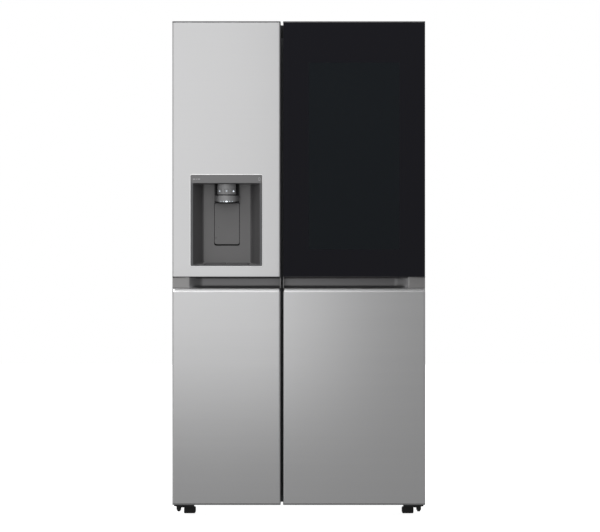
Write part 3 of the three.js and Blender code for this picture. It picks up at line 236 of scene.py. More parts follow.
def framed(
    u: Span, v: Span, radius: float, section: Sequence[tuple[float, float]], axis: Axis = Axis.Y
) -> Surface:
    """A closed frame: a section of (outward, level) points carried round a rounded rectangle.

    Args:
        u: Span of the path along the first axis.
        v: Span of the path along the second axis.
        radius: Corner radius of the path.
        section: Points of the section, outward from the path and along the axis.
        axis: The axis that the frame faces.

    Returns:
        The frame.
    """
    rings = [
        placed(rounded_loop(grown(u, out), grown(v, out), max(radius + out, 1e-6)), level, axis)
        for out, level in section
    ]
    return ring_stack(rings, wrap=True)


def pillow(
    x: Span, y: Span, z: Span, corner: float, edge: float, axis: Axis = Axis.Y, steps: int = 3
) -> Surface:
    """A block with round corners along an axis and quarter-round edges at both of its ends.

    The inset at an end is edge * (1 - sin t) at the depth edge * (1 - cos t), for t from 0 to
    a quarter turn.

    Args:
        x: Span along x.
        y: Span along y.
        z: Span along z.
        corner: Radius of the corners round the axis.
        edge: Radius of the edges at the ends.
        axis: The axis of the corners.
        steps: Segments in each rounded edge.

    Returns:
        The closed block.
    """
    spans = [x, y, z]
    u, v = [spans[i] for i in range(3) if i != axis.value]
    low, high = spans[axis.value]
    turn = np.linspace(0, np.pi / 2, steps + 1)
    inset, depth = edge * (1 - np.sin(turn)), edge * (1 - np.cos(turn))
    levels = np.concatenate([low + depth, (high - depth)[::-1]])
    insets = np.concatenate([inset, inset[::-1]])
    rings = [
        placed(rounded_loop(grown(u, -in_by), grown(v, -in_by), corner - in_by), level, axis)
        for in_by, level in zip(insets, levels)
    ]
    return ring_stack(rings)


def block(x: Span, y: Span, z: Span) -> Surface:
    """A plain block, which a bevel then finishes."""
    corners = np.array([[x[0], z[0]], [x[1], z[0]], [x[1], z[1]], [x[0], z[1]]])
    return ring_stack([placed(corners, y[0], Axis.Y), placed(corners, y[1], Axis.Y)])


def turned_shape(
    profile: Sequence[tuple[float, float]], centre: Sequence[float], axis: Axis, steps: int = 28
) -> Surface:
    """A profile of (radius, level) turned about an axis through the centre.

    Args:
        profile: Radius and level along the axis, from one end to the other.
        centre: The point that the levels start from.
        axis: The axis of the turning.
        steps: Segments round the axis.

    Returns:
        The closed shape; an end of radius 0 closes in a point and any other in a flat face.
    """
    angle = np.linspace(0, 2 * np.pi, steps, endpoint=False)
    circle = np.stack([np.cos(angle), np.sin(angle)], axis=-1)
    rings = [placed(circle * max(r, 1e-5), level, axis) + np.asarray(centre) for r, level in profile]
    return ring_stack(rings)


PIPE_UP = (0.31, 0.22, 0.93)


def pipe(path: np.ndarray, radius: float, steps: int = 10) -> Surface:
    """A round tube along a path: a circle in the plane square to the path at each point.

    The circle starts from the side that is square to both the path and PIPE_UP, which no
    pipe here runs along.

    Args:
        path: Points of shape (n, 3).
        radius: Tube radius.
        steps: Segments round the tube.

    Returns:
        The closed tube.
    """
    tangent = np.gradient(path, axis=0)
    tangent /= np.linalg.norm(tangent, axis=1)[:, None]
    side = np.cross(tangent, PIPE_UP)
    side /= np.linalg.norm(side, axis=1)[:, None]
    other = np.cross(tangent, side)
    angle = np.linspace(0, 2 * np.pi, steps, endpoint=False)
    across, up = np.cos(angle)[None, :, None], np.sin(angle)[None, :, None]
    ring = across * side[:, None, :] + up * other[:, None, :]
    return ring_stack(list(path[:, None, :] + radius * ring))


def smooth_path(points: Sequence[Sequence[float]], count: int = 40) -> np.ndarray:
    """A Catmull-Rom curve through given points: each stretch is a cubic in its own share.

    Args:
        points: The points in order.
        count: Number of points on the curve.

    Returns:
        Points of shape (count, 3).
    """
    given = np.asarray(points, float)
    knots = np.vstack([2 * given[0] - given[1], given, 2 * given[-1] - given[-2]])
    share = np.linspace(0, len(given) - 1 - 1e-9, count)
    first = share.astype(int)
    t = (share - first)[:, None]
    a, b, c, d = (knots[first + i] for i in range(4))
    square, cube = 2 * a - 5 * b + 4 * c - d, 3 * b - a - 3 * c + d
    return 0.5 * (2 * b + (c - a) * t + square * t**2 + cube * t**3)


# ------------------------------------------------------------------------------- finishes


class ShaderSheet:
    """One material's node tree, with short ways to add the patterns that finishes share."""

    def __init__(self, name: str) -> None:
        """Starts a material with an empty Principled shader."""
        self.material = bpy.data.materials.new(name)
        self.material.use_nodes = True
        self.tree = self.material.node_tree
        self.shader = self.tree.nodes["Principled BSDF"]
        self.place = self.add("ShaderNodeTexCoord").outputs["Object"]

    def add(self, kind: str, **settings: object) -> bpy.types.Node:
        """Adds a node and sets its properties."""
        node = self.tree.nodes.new(kind)
        for key, value in settings.items():
            setattr(node, key, value)
        return node

    def link(self, source: bpy.types.NodeSocket, target: bpy.types.NodeSocket) -> None:
        """Links two sockets."""
        self.tree.links.new(source, target)

    def set(self, **values: object) -> None:
        """Sets constants on the shader's own sockets; an underscore stands for a space."""
        for key, value in values.items():
            self.shader.inputs[key.replace("_", " ")].default_value = value

    def noise(self, stretch: Stretch, detail: float = 2.0) -> bpy.types.NodeSocket:
        """Noise with the given number of repeats in a metre along each axis."""
        mapping = self.add("ShaderNodeMapping")
        mapping.inputs["Scale"].default_value = tuple(stretch)
        texture = self.add("ShaderNodeTexNoise")
        texture.inputs["Scale"].default_value = 1.0
        texture.inputs["Detail"].default_value = detail
        self.link(self.place, mapping.inputs["Vector"])
        self.link(mapping.outputs["Vector"], texture.inputs["Vector"])
        return texture.outputs["Fac"]

    def blend(self, share: bpy.types.NodeSocket, low: Colour, high: Colour) -> bpy.types.NodeSocket:
        """Colours between low and high as a share goes from 0.3 to 0.7."""
        ramp = self.add("ShaderNodeValToRGB")
        ends = ramp.color_ramp.elements
        ends[0].position, ends[1].position = 0.3, 0.7
        ends[0].color, ends[1].color = (*low, 1.0), (*high, 1.0)
        self.link(share, ramp.inputs["Fac"])
        return ramp.outputs["Color"]

    def level(self, share: bpy.types.NodeSocket, low: float, high: float) -> bpy.types.NodeSocket:
        """Values between low and high as a share goes from 0.3 to 0.7."""
        node = self.add("ShaderNodeMapRange")
        for index, value in enumerate((0.3, 0.7, low, high), start=1):
            node.inputs[index].default_value = value
        self.link(share, node.inputs[0])
        return node.outputs[0]

    def tone(
        self, share: bpy.types.NodeSocket, colour: Colour, low: float, high: float
    ) -> bpy.types.NodeSocket:
        """Sets the base colour between two shades of a colour, and gives its socket."""
        socket = self.blend(share, shade(colour, low), shade(colour, high))
        self.link(socket, self.shader.inputs["Base Color"])
        return socket

    def rough(self, share: bpy.types.NodeSocket, low: float, high: float) -> None:
        """Sets the roughness between low and high."""
        self.link(self.level(share, low, high), self.shader.inputs["Roughness"])

    def relief(self, height: bpy.types.NodeSocket, depth: float, strength: float = 1.0) -> None:
        """Adds a bump of a depth in metres, over any relief that is already there."""
        node = self.add("ShaderNodeBump")
        node.inputs["Strength"].default_value = strength
        node.inputs["Distance"].default_value = depth
        self.link(height, node.inputs["Height"])
        normal = self.shader.inputs["Normal"]
        if normal.is_linked:
            self.link(normal.links[0].from_socket, node.inputs["Normal"])
        self.link(node.outputs["Normal"], normal)


def shade(colour: Colour, by: float) -> Colour:
    """The colour made lighter or darker by a factor."""
    return tuple(min(part * by, 1.0) for part in colour)


@dataclass(frozen=True)
class Finish:
    """What every finish has: a name, a colour and a roughness."""

    name: str
    colour: Colour
    roughness: float

    def dress(self, sheet: ShaderSheet) -> None:
        """Adds this finish's nodes to a sheet."""
        raise NotImplementedError


@dataclass(frozen=True)
class BrushedSteel(Finish):
    """Steel with fine level hairlines, longer cloudy streaks and a slightly uneven shine."""

    contrast: float = 0.012
    metal: float = 1.0
    hairlines: Stretch = (2.5, 2.5, 1400.0)
    streaks: Stretch = (0.9, 0.9, 60.0)
    clouds: Stretch = (2.2, 2.2, 1.7)
    streak_sheen: float = 0.012
    cloud_sheen: float = 0.01
    depth: float = 0.02 * MM

    def dress(self, sheet: ShaderSheet) -> None:
        """Adds this finish's nodes to a sheet; the tone is the mean of hairlines and streaks."""
        hairline, streak = sheet.noise(self.hairlines, 3), sheet.noise(self.streaks, 4)
        half = sheet.add("ShaderNodeMath", operation="MULTIPLY")
        half.inputs[1].default_value = 0.5
        sheet.link(hairline, half.inputs[0])
        mean = sheet.add("ShaderNodeMath", operation="MULTIPLY_ADD")
        mean.inputs[1].default_value = 0.5
        sheet.link(streak, mean.inputs[0])
        sheet.link(half.outputs[0], mean.inputs[2])
        sheet.tone(mean.outputs[0], self.colour, 1 - self.contrast, 1 + self.contrast)
        sheen = sheet.add("ShaderNodeMath", operation="ADD")
        low, high = self.roughness - self.streak_sheen, self.roughness + self.streak_sheen
        sheet.link(sheet.level(streak, low, high), sheen.inputs[0])
        cloud = sheet.level(sheet.noise(self.clouds, 2), -self.cloud_sheen, self.cloud_sheen)
        sheet.link(cloud, sheen.inputs[1])
        sheet.link(sheen.outputs[0], sheet.shader.inputs["Roughness"])
        sheet.set(Metallic=self.metal)
        sheet.relief(hairline, self.depth, 0.12)


@dataclass(frozen=True)
class Paint(Finish):
    """Sprayed or powder paint over sheet metal: an orange peel and faint clouds of tone."""

    peel: float = 420.0
    depth: float = 0.05 * MM
    clouds: float = 3.1
    contrast: float = 0.07
    sheen: float = 0.04
    metal: float = 0.15

    def dress(self, sheet: ShaderSheet) -> None:
        """Adds this finish's nodes to a sheet."""
        cloud = sheet.noise((self.clouds,) * 3, 3)
        sheet.tone(cloud, self.colour, 1 - self.contrast, 1 + self.contrast)
        peel = sheet.noise((self.peel,) * 3, 2)
        sheet.rough(peel, self.roughness - self.sheen, self.roughness + self.sheen)
        sheet.set(Metallic=self.metal)
        sheet.relief(peel, self.depth, 0.5)


@dataclass(frozen=True)
class Moulding(Finish):
    """Injection moulded plastic: an etched grain, faint flow marks and a scuffed sheen."""

    grain: float = 900.0
    depth: float = 0.04 * MM
    coat: float = 0.0
    flow: float = 0.03
    flow_marks: Stretch = (3.0, 3.0, 5.0)
    scuffs: float = 38.0
    sheen: float = 0.03

    def dress(self, sheet: ShaderSheet) -> None:
        """Adds this finish's nodes to a sheet."""
        marks = sheet.noise(self.flow_marks, 2)
        sheet.tone(marks, self.colour, 1 - self.flow, 1 + self.flow)
        scuff = sheet.noise((self.scuffs,) * 3, 4)
        sheet.rough(scuff, self.roughness - self.sheen, self.roughness + self.sheen)
        sheet.set(Coat_Weight=self.coat, Coat_Roughness=0.12)
        sheet.relief(sheet.noise((self.grain,) * 3, 2), self.depth, 0.6)


@dataclass(frozen=True)
class Zinc(Finish):
    """Galvanised sheet: spangles of slightly different grey, each with its own shine."""

    spangle: float = 120.0
    frost: float = 240.0
    contrast: float = 0.05

    def dress(self, sheet: ShaderSheet) -> None:
        """Adds this finish's nodes to a sheet."""
        cells = sheet.add("ShaderNodeTexVoronoi")
        cells.inputs["Scale"].default_value = self.spangle
        sheet.link(sheet.place, cells.inputs["Vector"])
        grey = sheet.add("ShaderNodeRGBToBW")
        sheet.link(cells.outputs["Color"], grey.inputs[0])
        sheet.tone(grey.outputs[0], self.colour, 1 - self.contrast, 1 + self.contrast)
        sheet.rough(grey.outputs[0], self.roughness - 0.04, self.roughness + 0.05)
        sheet.set(Metallic=0.9)
        sheet.relief(sheet.noise((self.frost,) * 3, 3), 0.04 * MM, 0.4)


@dataclass(frozen=True)
class TurnedMetal(Finish):
    """Machined or stamped metal with a fine random scratch and dull patches."""

    patches: float = 60.0
    scratches: Stretch = (900.0, 120.0, 900.0)

    def dress(self, sheet: ShaderSheet) -> None:
        """Adds this finish's nodes to a sheet."""
        sheet.tone(sheet.noise((self.patches,) * 3, 4), self.colour, 0.86, 1.08)
        scratch = sheet.noise(self.scratches, 2)
        sheet.rough(scratch, self.roughness - 0.06, self.roughness + 0.08)
        sheet.set(Metallic=1.0)
        sheet.relief(scratch, 0.03 * MM, 0.5)


@dataclass(frozen=True)
class DoorGlass(Finish):
    """Black glass: printed black at the border and dark but see-through inside the window.

    The window is a rectangle in Object coordinates. A smooth step across its soft edge turns
    the print's colour and opacity into the window's.
    """

    window_x: Span = (0.0, 0.1)
    window_z: Span = (0.0, 0.1)
    window_colour: Colour = (0.0098, 0.0150, 0.0205)
    tint: float = 0.88
    soft_edge: float = 4 * MM
    smears: Stretch = (9.0, 9.0, 6.0)

    def dress(self, sheet: ShaderSheet) -> None:
        """Adds this finish's nodes to a sheet."""
        axes = sheet.add("ShaderNodeSeparateXYZ")
        sheet.link(sheet.place, axes.inputs[0])
        both = sheet.add("ShaderNodeMath", operation="MULTIPLY")
        sheet.link(self.within(sheet, axes.outputs[0], self.window_x), both.inputs[0])
        sheet.link(self.within(sheet, axes.outputs[2], self.window_z), both.inputs[1])
        inside = both.outputs[0]
        tone = sheet.add("ShaderNodeMix", data_type="RGBA")
        tone.inputs[6].default_value = (*self.colour, 1)
        tone.inputs[7].default_value = (*self.window_colour, 1)
        sheet.link(inside, tone.inputs[0])
        sheet.link(tone.outputs[2], sheet.shader.inputs["Base Color"])
        opacity = sheet.add("ShaderNodeMapRange")
        opacity.inputs[3].default_value, opacity.inputs[4].default_value = 1.0, self.tint
        sheet.link(inside, opacity.inputs[0])
        sheet.link(opacity.outputs[0], sheet.shader.inputs["Alpha"])
        sheet.rough(sheet.noise(self.smears, 3), self.roughness, self.roughness + 0.025)
        sheet.set(IOR=1.5, Specular_IOR_Level=0.28)

    def within(self, sheet: ShaderSheet, level: bpy.types.NodeSocket, span: Span) -> bpy.types.NodeSocket:
        """A socket that is 1 while a level lies inside a span and falls to 0 at its ends.

        Args:
            sheet: The sheet that the nodes go into.
            level: The coordinate.
            span: Where it counts as inside.

        Returns:
            The socket with the share.
        """
        middle, half = sum(span) / 2, (span[1] - span[0]) / 2
        away = sheet.add("ShaderNodeMath", operation="SUBTRACT")
        away.inputs[1].default_value = middle
        sheet.link(level, away.inputs[0])
        size = sheet.add("ShaderNodeMath", operation="ABSOLUTE")
        sheet.link(away.outputs[0], size.inputs[0])
        step = sheet.add("ShaderNodeMapRange", interpolation_type="SMOOTHSTEP")
        for index, value in enumerate((half - self.soft_edge, half, 1.0, 0.0), start=1):
            step.inputs[index].default_value = value
        sheet.link(size.outputs[0], step.inputs[0])
        return step.outputs[0]


@dataclass(frozen=True)
class Clear(Finish):
    """Clear glass or plastic, shown by how much of what is behind it it hides."""

    hides: float = 0.3
    grain: float = 60.0
    clouds: float = 11.0

    def dress(self, sheet: ShaderSheet) -> None:
        """Adds this finish's nodes to a sheet."""
        ripple = sheet.noise((self.grain,) * 3, 2)
        sheet.tone(ripple, self.colour, 0.95, 1.03)
        sheet.rough(ripple, self.roughness, self.roughness + 0.04)
        cloud = sheet.noise((self.clouds,) * 3, 2)
        sheet.link(sheet.level(cloud, self.hides - 0.03, self.hides + 0.04), sheet.shader.inputs["Alpha"])
        sheet.set(IOR=1.5)
        sheet.relief(ripple, 0.04 * MM, 0.3)


@dataclass(frozen=True)
class Glow(Finish):
    """A lit lens with faint specks in its glow."""

    strength: float = 1.0
    specks: float = 160.0

    def dress(self, sheet: ShaderSheet) -> None:
        """Adds this finish's nodes to a sheet."""
        glow = sheet.tone(sheet.noise((self.specks,) * 3, 2), self.colour, 0.92, 1.0)
        sheet.link(glow, sheet.shader.inputs["Emission Color"])
        sheet.set(Roughness=self.roughness, Emission_Strength=self.strength)


STEEL = BrushedSteel("brushed_door_steel", (0.66, 0.66, 0.665), 0.36)
TRIM_STEEL = BrushedSteel("bright_trim_steel", (0.94, 0.94, 0.94), 0.4, contrast=0.01)
POCKET_END = BrushedSteel("satin_grey_pocket_end", (0.34, 0.335, 0.335), 0.42, contrast=0.02, metal=0.8)
# The end block's satin grey darkened as painted shade for the recessed pocket.
POCKET_PAINTED_SHADE = BrushedSteel("satin_grey_pocket_painted_shade", (0.19, 0.188, 0.192), 0.42, contrast=0.02, metal=0.8)
CASE_PAINT = Paint("grey_case_paint", (0.105, 0.108, 0.116), 0.42)
BLACK_PAINT = Paint("black_enamel", (0.012, 0.012, 0.013), 0.36, peel=500)
BLACK_PLASTIC = Moulding("black_grained_plastic", (0.012, 0.012, 0.013), 0.5, grain=650, depth=0.06 * MM)
CAP_PLASTIC = Moulding("grey_cap_plastic", (0.19, 0.19, 0.195), 0.45)
GLOSS_BLACK = Moulding("gloss_black_plastic", (0.014, 0.014, 0.016), 0.16, 300, 0.01 * MM, coat=0.3)
NICHE_GREY = Moulding("niche_grey_plastic", (0.182, 0.179, 0.181), 0.36, grain=800, depth=0.03 * MM)
# The niche grey darkened as painted shade for the niche's side walls; the drip tray uses it too.
NICHE_PAINTED_SHADE_GREY = Moulding("niche_painted_shade_plastic", (0.092, 0.090, 0.092), 0.42, grain=800, depth=0.03 * MM)
FRAME_GREY = Moulding("frame_grey_plastic", (0.12, 0.122, 0.128), 0.34, grain=800, depth=0.02 * MM)
HEADER_GREY = BrushedSteel("header_grey_metal", (0.215, 0.213, 0.216), 0.42, contrast=0.03, metal=0.7)
NOZZLE_SILVER = BrushedSteel("nozzle_silver_plate", (0.32, 0.32, 0.325), 0.5, contrast=0.03, metal=0.7)
PADDLE = Moulding("paddle_grey_plastic", (0.164, 0.161, 0.163), 0.3, grain=500, depth=0.02 * MM, coat=0.2)
WHITE = Moulding("white_lining_plastic", (0.80, 0.81, 0.81), 0.33, grain=380, depth=0.02 * MM, flow=0.01)
SOFT_GREY = Moulding("light_grey_trim_plastic", (0.42, 0.44, 0.46), 0.35)
RUBBER = Moulding("grey_seal_rubber", (0.11, 0.115, 0.12), 0.62, grain=1200, depth=0.05 * MM)
BLACK_RUBBER = Moulding("black_rubber", (0.016, 0.016, 0.016), 0.7, grain=1000, depth=0.07 * MM)
GALVANISED = Zinc("galvanised_sheet", (0.56, 0.58, 0.60), 0.36)
SCREW = TurnedMetal("zinc_screw", (0.60, 0.60, 0.58), 0.3)
COPPER = TurnedMetal("copper_pipe", (0.72, 0.36, 0.22), 0.32)
ALUMINIUM = TurnedMetal("fin_aluminium", (0.66, 0.67, 0.68), 0.34)
FOAM = Moulding("foam", (0.70, 0.55, 0.28), 0.85, grain=260, depth=0.5 * MM)
CLEAR_PLASTIC = Clear("clear_bin_plastic", (0.78, 0.85, 0.88), 0.08, hides=0.34)
SHELF_GLASS = Clear("shelf_glass", (0.62, 0.80, 0.74), 0.03, hides=0.2, grain=12)
PANE_GLASS = Clear("inner_pane_glass", (0.30, 0.36, 0.35), 0.03, hides=0.16, grain=9)
LAMP = Glow("room_lamp", (1.0, 0.98, 0.93), 0.5, strength=5.0)
ICON = Glow("lit_icon", (0.86, 0.93, 1.0), 0.4, strength=1.3)
DIM_ICON = Glow("dim_icon", (0.72, 0.80, 0.88), 0.4, strength=0.45)
MARK = Moulding("printed_mark", (0.5, 0.5, 0.51), 0.5)
# Near black painted as the shade inside the paddle recess and the vent slots.
PAINTED_SHADE_BLACK = Moulding("painted_shade_black", (0.004, 0.004, 0.004), 0.6)
FROSTED = Clear("frosted_ice_bin", (0.84, 0.88, 0.90), 0.3, hides=0.55, grain=200)


@functools.cache
def material_of(finish: Finish) -> bpy.types.Material:
    """The material of a finish, made once."""
    sheet = ShaderSheet(finish.name)
    finish.dress(sheet)
    return sheet.material


# --------------------------------------------------------------------------------- pieces


@dataclass
class Making:
    """How a surface becomes a finished piece.

    Attributes:
        body: The CAD body that it rides on.
        finishes: Its finish, or the finishes that zones chooses from.
        slot: The record's material slot; not used.
        replaces: CAD nodes that it stands for.
        bevel: Width of the rounded edges, or 0.
        thickness: Wall behind an open sheet, or 0 for a closed surface.
        facing: The side that an open sheet shows.
        crease: Edges sharper than this many degrees stay sharp.
        zones: Gives each face its finish from face centres and face normals.
    """

    body: str
    finishes: Sequence[Finish]
    slot: str
    replaces: Sequence[str] = ()
    bevel: float = 0.0
    thickness: float = 0.0
    facing: Sequence[float] = (0, -1, 0)
    crease: float = 35.0
    zones: Zones | None = None


def finish_mesh(mesh: bpy.types.Mesh, making: Making) -> None:
    """Gives a mesh its materials and its smooth and sharp edges."""
    for finish in making.finishes:
        mesh.materials.append(material_of(finish))
    if making.zones:
        count = len(mesh.polygons)
        centres, normals = np.empty(count * 3), np.empty(count * 3)
        mesh.polygons.foreach_get("center", centres)
        mesh.polygons.foreach_get("normal", normals)
        chosen = making.zones(centres.reshape(-1, 3), normals.reshape(-1, 3))
        mesh.polygons.foreach_set("material_index", np.asarray(chosen, np.int32))
    mesh.shade_smooth()
    mesh.set_sharp_from_angle(angle=math.radians(making.crease))


def make_piece(name: str, surface: Surface, making: Making) -> bpy.types.Object:
    """Puts a surface into a mesh, dresses it and makes it ride on its body.

    Args:
        name: The piece's name.
        surface: Points and faces.
        making: Body, finish and treatment.

    Returns:
        The finished object.
    """
    mesh = bpy.data.meshes.new(name)
    mesh.from_pydata(surface.points.tolist(), [], surface.faces)
    work = bmesh.new()
    work.from_mesh(mesh)
    bmesh.ops.remove_doubles(work, verts=work.verts, dist=MERGE_NEW)
    bmesh.ops.recalc_face_normals(work, faces=work.faces)
    if making.thickness:
        facing = sum((f.normal.dot(making.facing) * f.calc_area() for f in work.faces), 0.0)
        if facing < 0:
            bmesh.ops.reverse_faces(work, faces=work.faces)
    work.to_mesh(mesh)
    work.free()
    return add_object(name, mesh, making)


def refine(
    node: str, finishes: Sequence[Finish], bevel: float, name: str | None = None, zones: Zones | None = None
) -> bpy.types.Object:
    """Makes a piece from a merged copy of a CAD node, with its flat faces whole and edges rounded.

    Args:
        node: The CAD node that the piece stands for; it gives the body and the slot too.
        finishes: The finish, or the finishes that zones chooses from.
        bevel: Width of the rounded edges.
        name: The piece's name, or None for the node's name with an ending.
        zones: Gives each face its finish from face centres and face normals.

    Returns:
        The finished object.
    """
    source = frame["nodes"][node].data
    points = np.empty(len(source.vertices) * 3)
    source.vertices.foreach_get("co", points)
    faces = [tuple(p.vertices) for p in source.polygons]
    name = name or f"{node}_fine"
    mesh = bpy.data.meshes.new(name)
    mesh.from_pydata(points.reshape(-1, 3).tolist(), [], faces)
    work = bmesh.new()
    work.from_mesh(mesh)
    bmesh.ops.remove_doubles(work, verts=work.verts, dist=MERGE_CAD)
    bmesh.ops.dissolve_limit(work, angle_limit=FLAT_WITHIN, verts=work.verts, edges=work.edges)
    work.to_mesh(mesh)
    work.free()
    making = Making(NODE_BODY[node], finishes, NODE_SLOT[node], (node,), bevel, zones=zones)
    return add_object(name, mesh, making)


def add_object(name: str, mesh: bpy.types.Mesh, making: Making) -> bpy.types.Object:
    """Links a mesh as a piece, with its modifiers, body and replaced nodes."""
    finish_mesh(mesh, making)
    piece = bpy.data.objects.new(name, mesh)
    bpy.context.scene.collection.objects.link(piece)
    if making.thickness:
        wall = piece.modifiers.new("wall", "SOLIDIFY")
        wall.thickness, wall.offset = making.thickness, -1
    if making.bevel:
        edge = piece.modifiers.new("edge", "BEVEL")
        edge.width, edge.segments, edge.limit_method = making.bevel, 2, "ANGLE"
        edge.angle_limit, edge.harden_normals = BEVEL_FROM, True
    weighted = piece.modifiers.new("flat_faces_stay_flat", "WEIGHTED_NORMAL")
    weighted.weight, weighted.keep_sharp = 100, True
    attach(piece, making.body)
    if making.replaces:
        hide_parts(*making.replaces)
    log.info("%s: %d points on %s", name, len(mesh.vertices), making.body)
    return piece


def dress_node(node: str, finish: Finish) -> None:
    """Gives a carried-over CAD node its finish."""
    frame["nodes"][node].material_slots[0].material = material_of(finish)
    log.info("%s keeps its CAD shape, in %s", node, finish.name)


def screw_heads(centres: Sequence[Sequence[float]], axis: Axis, radius: float = 4.5 * MM) -> Surface:
    """Domed screw heads on washers, each raised from its centre along the axis."""
    washer = [(1.7, 0.0), (1.7, 0.22), (1.0, 0.26)]
    head = [(0.92, 0.6), (0.6, 0.82), (0.42, 0.84), (0.3, 0.5), (0.0, 0.48)]
    profile = [(out * radius, up * radius) for out, up in washer + head]
    return joined([turned_shape(profile, centre, axis, 14) for centre in centres])


# ---------------------------------------------------------------------------------- doors


class Side(enum.Enum):
    """Which door: the freezer's is on the left and the fridge's on the right."""

    FREEZER = -1
    FRIDGE = 1


@dataclass
class DoorLeaf:
    """One door: steel skins, caps, lined foam body, seal and pocket handle."""

    side: Side
    round_front: float = 7 * MM
    sheet: float = 1 * MM
    bevel: float = 13.5 * MM
    notch_y: float = -357.5 * MM
    notch_z: float = 1762 * MM
    panel_rear: float = -277.8 * MM
    flat_end: float = 57 * MM
    full_depth: float = 110 * MM
    block_setback: float = 12 * MM
    end_wall: float = 2.3 * MM
    lip_inset: float = 0.8 * MM
    lip_height: float = 1.2 * MM
    cap_height: float = 4 * MM
    cap_reach: float = 9 * MM
    seal_width: float = 18 * MM
    seal_corner: float = 12 * MM
    end_rim: float = 6 * MM
    name: str = field(init=False)
    body: str = field(init=False)

    def __post_init__(self) -> None:
        """Reads the door's own spans from the frame."""
        self.name = "freezer" if self.side is Side.FREEZER else "fridge"
        self.body = f"{self.name}_door"
        self.x, self.y, self.z = node_spans(f"{self.name}_door_body")
        self.front_y = CAD_BOX[0][1]
        self.channel = node_spans(f"{self.name}_handle_channel")

    def plan_profile(self, x: Span, setback: np.ndarray, stops: Sequence[float]) -> np.ndarray:
        """The wrapped skin's outline in plan, from the back of one side round to the other.

        Each front corner is a quarter circle, and a setback moves the front and its corners
        back while the sides stay.

        Args:
            x: Span across the door.
            setback: How far the front stands back in each row, shape (rows,).
            stops: Extra x places where the front has a column.

        Returns:
            Array of shape (rows, columns, 2) of x and y.
        """
        r = self.round_front
        turn = np.linspace(0, np.pi / 2, 7)
        rear, near = self.panel_rear, self.notch_y + 2 * r
        front = np.array(sorted({x[0] + r, *stops, x[1] - r}))[1:-1]
        left = np.stack([x[0] + r - r * np.cos(turn), self.front_y + r - r * np.sin(turn)], -1)
        right = np.stack([x[1] - r + r * np.sin(turn), self.front_y + r - r * np.cos(turn)], -1)
        flat = np.stack([front, np.full(len(front), self.front_y)], -1)
        line = np.vstack([[[x[0], rear], [x[0], near]], left, flat, right, [[x[1], near], [x[1], rear]]])
        rows = np.repeat(line[None], len(setback), axis=0)
        rows[:, 2:-2, 1] += setback[:, None]
        return rows

    def skin(self, node: str, hole: tuple[Span, Span] | None, bevelled: bool) -> Surface:
        """A steel skin wrapped over the front and both sides, with its cut-outs.

        Args:
            node: The CAD node that gives the spans.
            hole: Spans in x and z of an opening in the front, or None.
            bevelled: Whether the upper edge slopes back to the handle pocket.

        Returns:
            The open sheet.
        """
        x, _, z = node_spans(node)
        if bevelled:
            start = z[1] - self.bevel
            slope = start + np.linspace(0, self.bevel, 7)
            levels = np.concatenate([[z[0], z[0] + self.lip_height, start - 1.5 * MM], slope])
            setback = np.clip(levels - start, 0, self.bevel)
            setback[0] = self.lip_inset
        else:
            edges = {z[0], z[0] + self.lip_height, self.notch_z, z[1] - self.lip_height, z[1]}
            levels = np.array(sorted({*edges, *(hole[1] if hole else ())}))
            setback = np.where((levels == z[0]) | (levels == z[1]), self.lip_inset, 0.0)
        stops = [*(hole[0] if hole else ()), *np.linspace(*grown(x, -30 * MM), 5)]
        plan = self.plan_profile(x, setback, stops)
        heights = np.repeat(levels[:, None, None], plan.shape[1], axis=1)
        points = np.concatenate([plan, heights], axis=-1)
        middle = (points[:-1, :-1] + points[1:, 1:]) / 2
        keep = np.ones(middle.shape[:2], bool)
        if hole:
            inside_x = (middle[..., 0] > hole[0][0]) & (middle[..., 0] < hole[0][1])
            inside_z = (middle[..., 2] > hole[1][0]) & (middle[..., 2] < hole[1][1])
            keep &= ~(inside_x & inside_z)
        outer = middle[..., 0] * self.side.value > max(abs(x[0]), abs(x[1])) - 0.5 * MM
        keep &= ~(outer & (middle[..., 2] > self.notch_z) & (middle[..., 1] > self.notch_y))
        return grid_surface(points, keep)

    def build_skins(self, hole: tuple[Span, Span] | None) -> None:
        """Makes the steel skins of this door."""
        if self.side is Side.FREEZER:
            node = "freezer_upper_panel"
            making = Making(self.body, [STEEL], "door_steel", [node], thickness=self.sheet, crease=50)
            make_piece("freezer_upper_skin", self.skin(node, hole, False), making)
        node = f"{self.name}_lower_panel"
        making = Making(self.body, [STEEL], "door_steel", [node], thickness=self.sheet, crease=38)
        make_piece(f"{self.name}_lower_skin", self.skin(node, None, True), making)

    def build_body(self) -> None:
        """Makes the lined body from the CAD solid: white behind, grey sides, dark window walls."""
        rim_y = self.panel_rear + 0.5 * MM
        side_finish = STEEL if self.side is Side.FREEZER else FRAME_GREY
        outer, ends = grown(self.x, -3 * MM), grown(self.z, -self.end_rim)

        def zones(centres: np.ndarray, normals: np.ndarray) -> np.ndarray:
            """White behind the rim; before it capped ends, black inside and the outer sides."""
            across, along, level = centres.T
            capped = (level <= ends[0]) | (level >= ends[1])
            inside = (across >= outer[0]) & (across <= outer[1])
            return np.where(along > rim_y, 0, np.where(capped, 3, np.where(inside, 2, 1)))

        finishes = [WHITE, side_finish, GLOSS_BLACK, CAP_PLASTIC]
        refine(f"{self.name}_door_body", finishes, 1.6 * MM, f"{self.name}_door_lined_body", zones)

    def build_caps(self) -> None:
        """Makes the plastic cap along the door's upper and lower front edge."""
        x, y = grown(self.x, -0.4 * MM), (self.front_y + 0.6 * MM, self.front_y + self.cap_reach)
        for place, low in (("upper", self.z[1] - self.cap_height), ("lower", self.z[0])):
            surface = pillow(x, y, (low, low + self.cap_height), 5 * MM, 1.2 * MM, Axis.Z)
            finish = CAP_PLASTIC if self.side is Side.FREEZER or place == "lower" else GLOSS_BLACK
            making = Making(self.body, [finish], "dark_grey_plastic")
            make_piece(f"{self.name}_{place}_cap", surface, making)

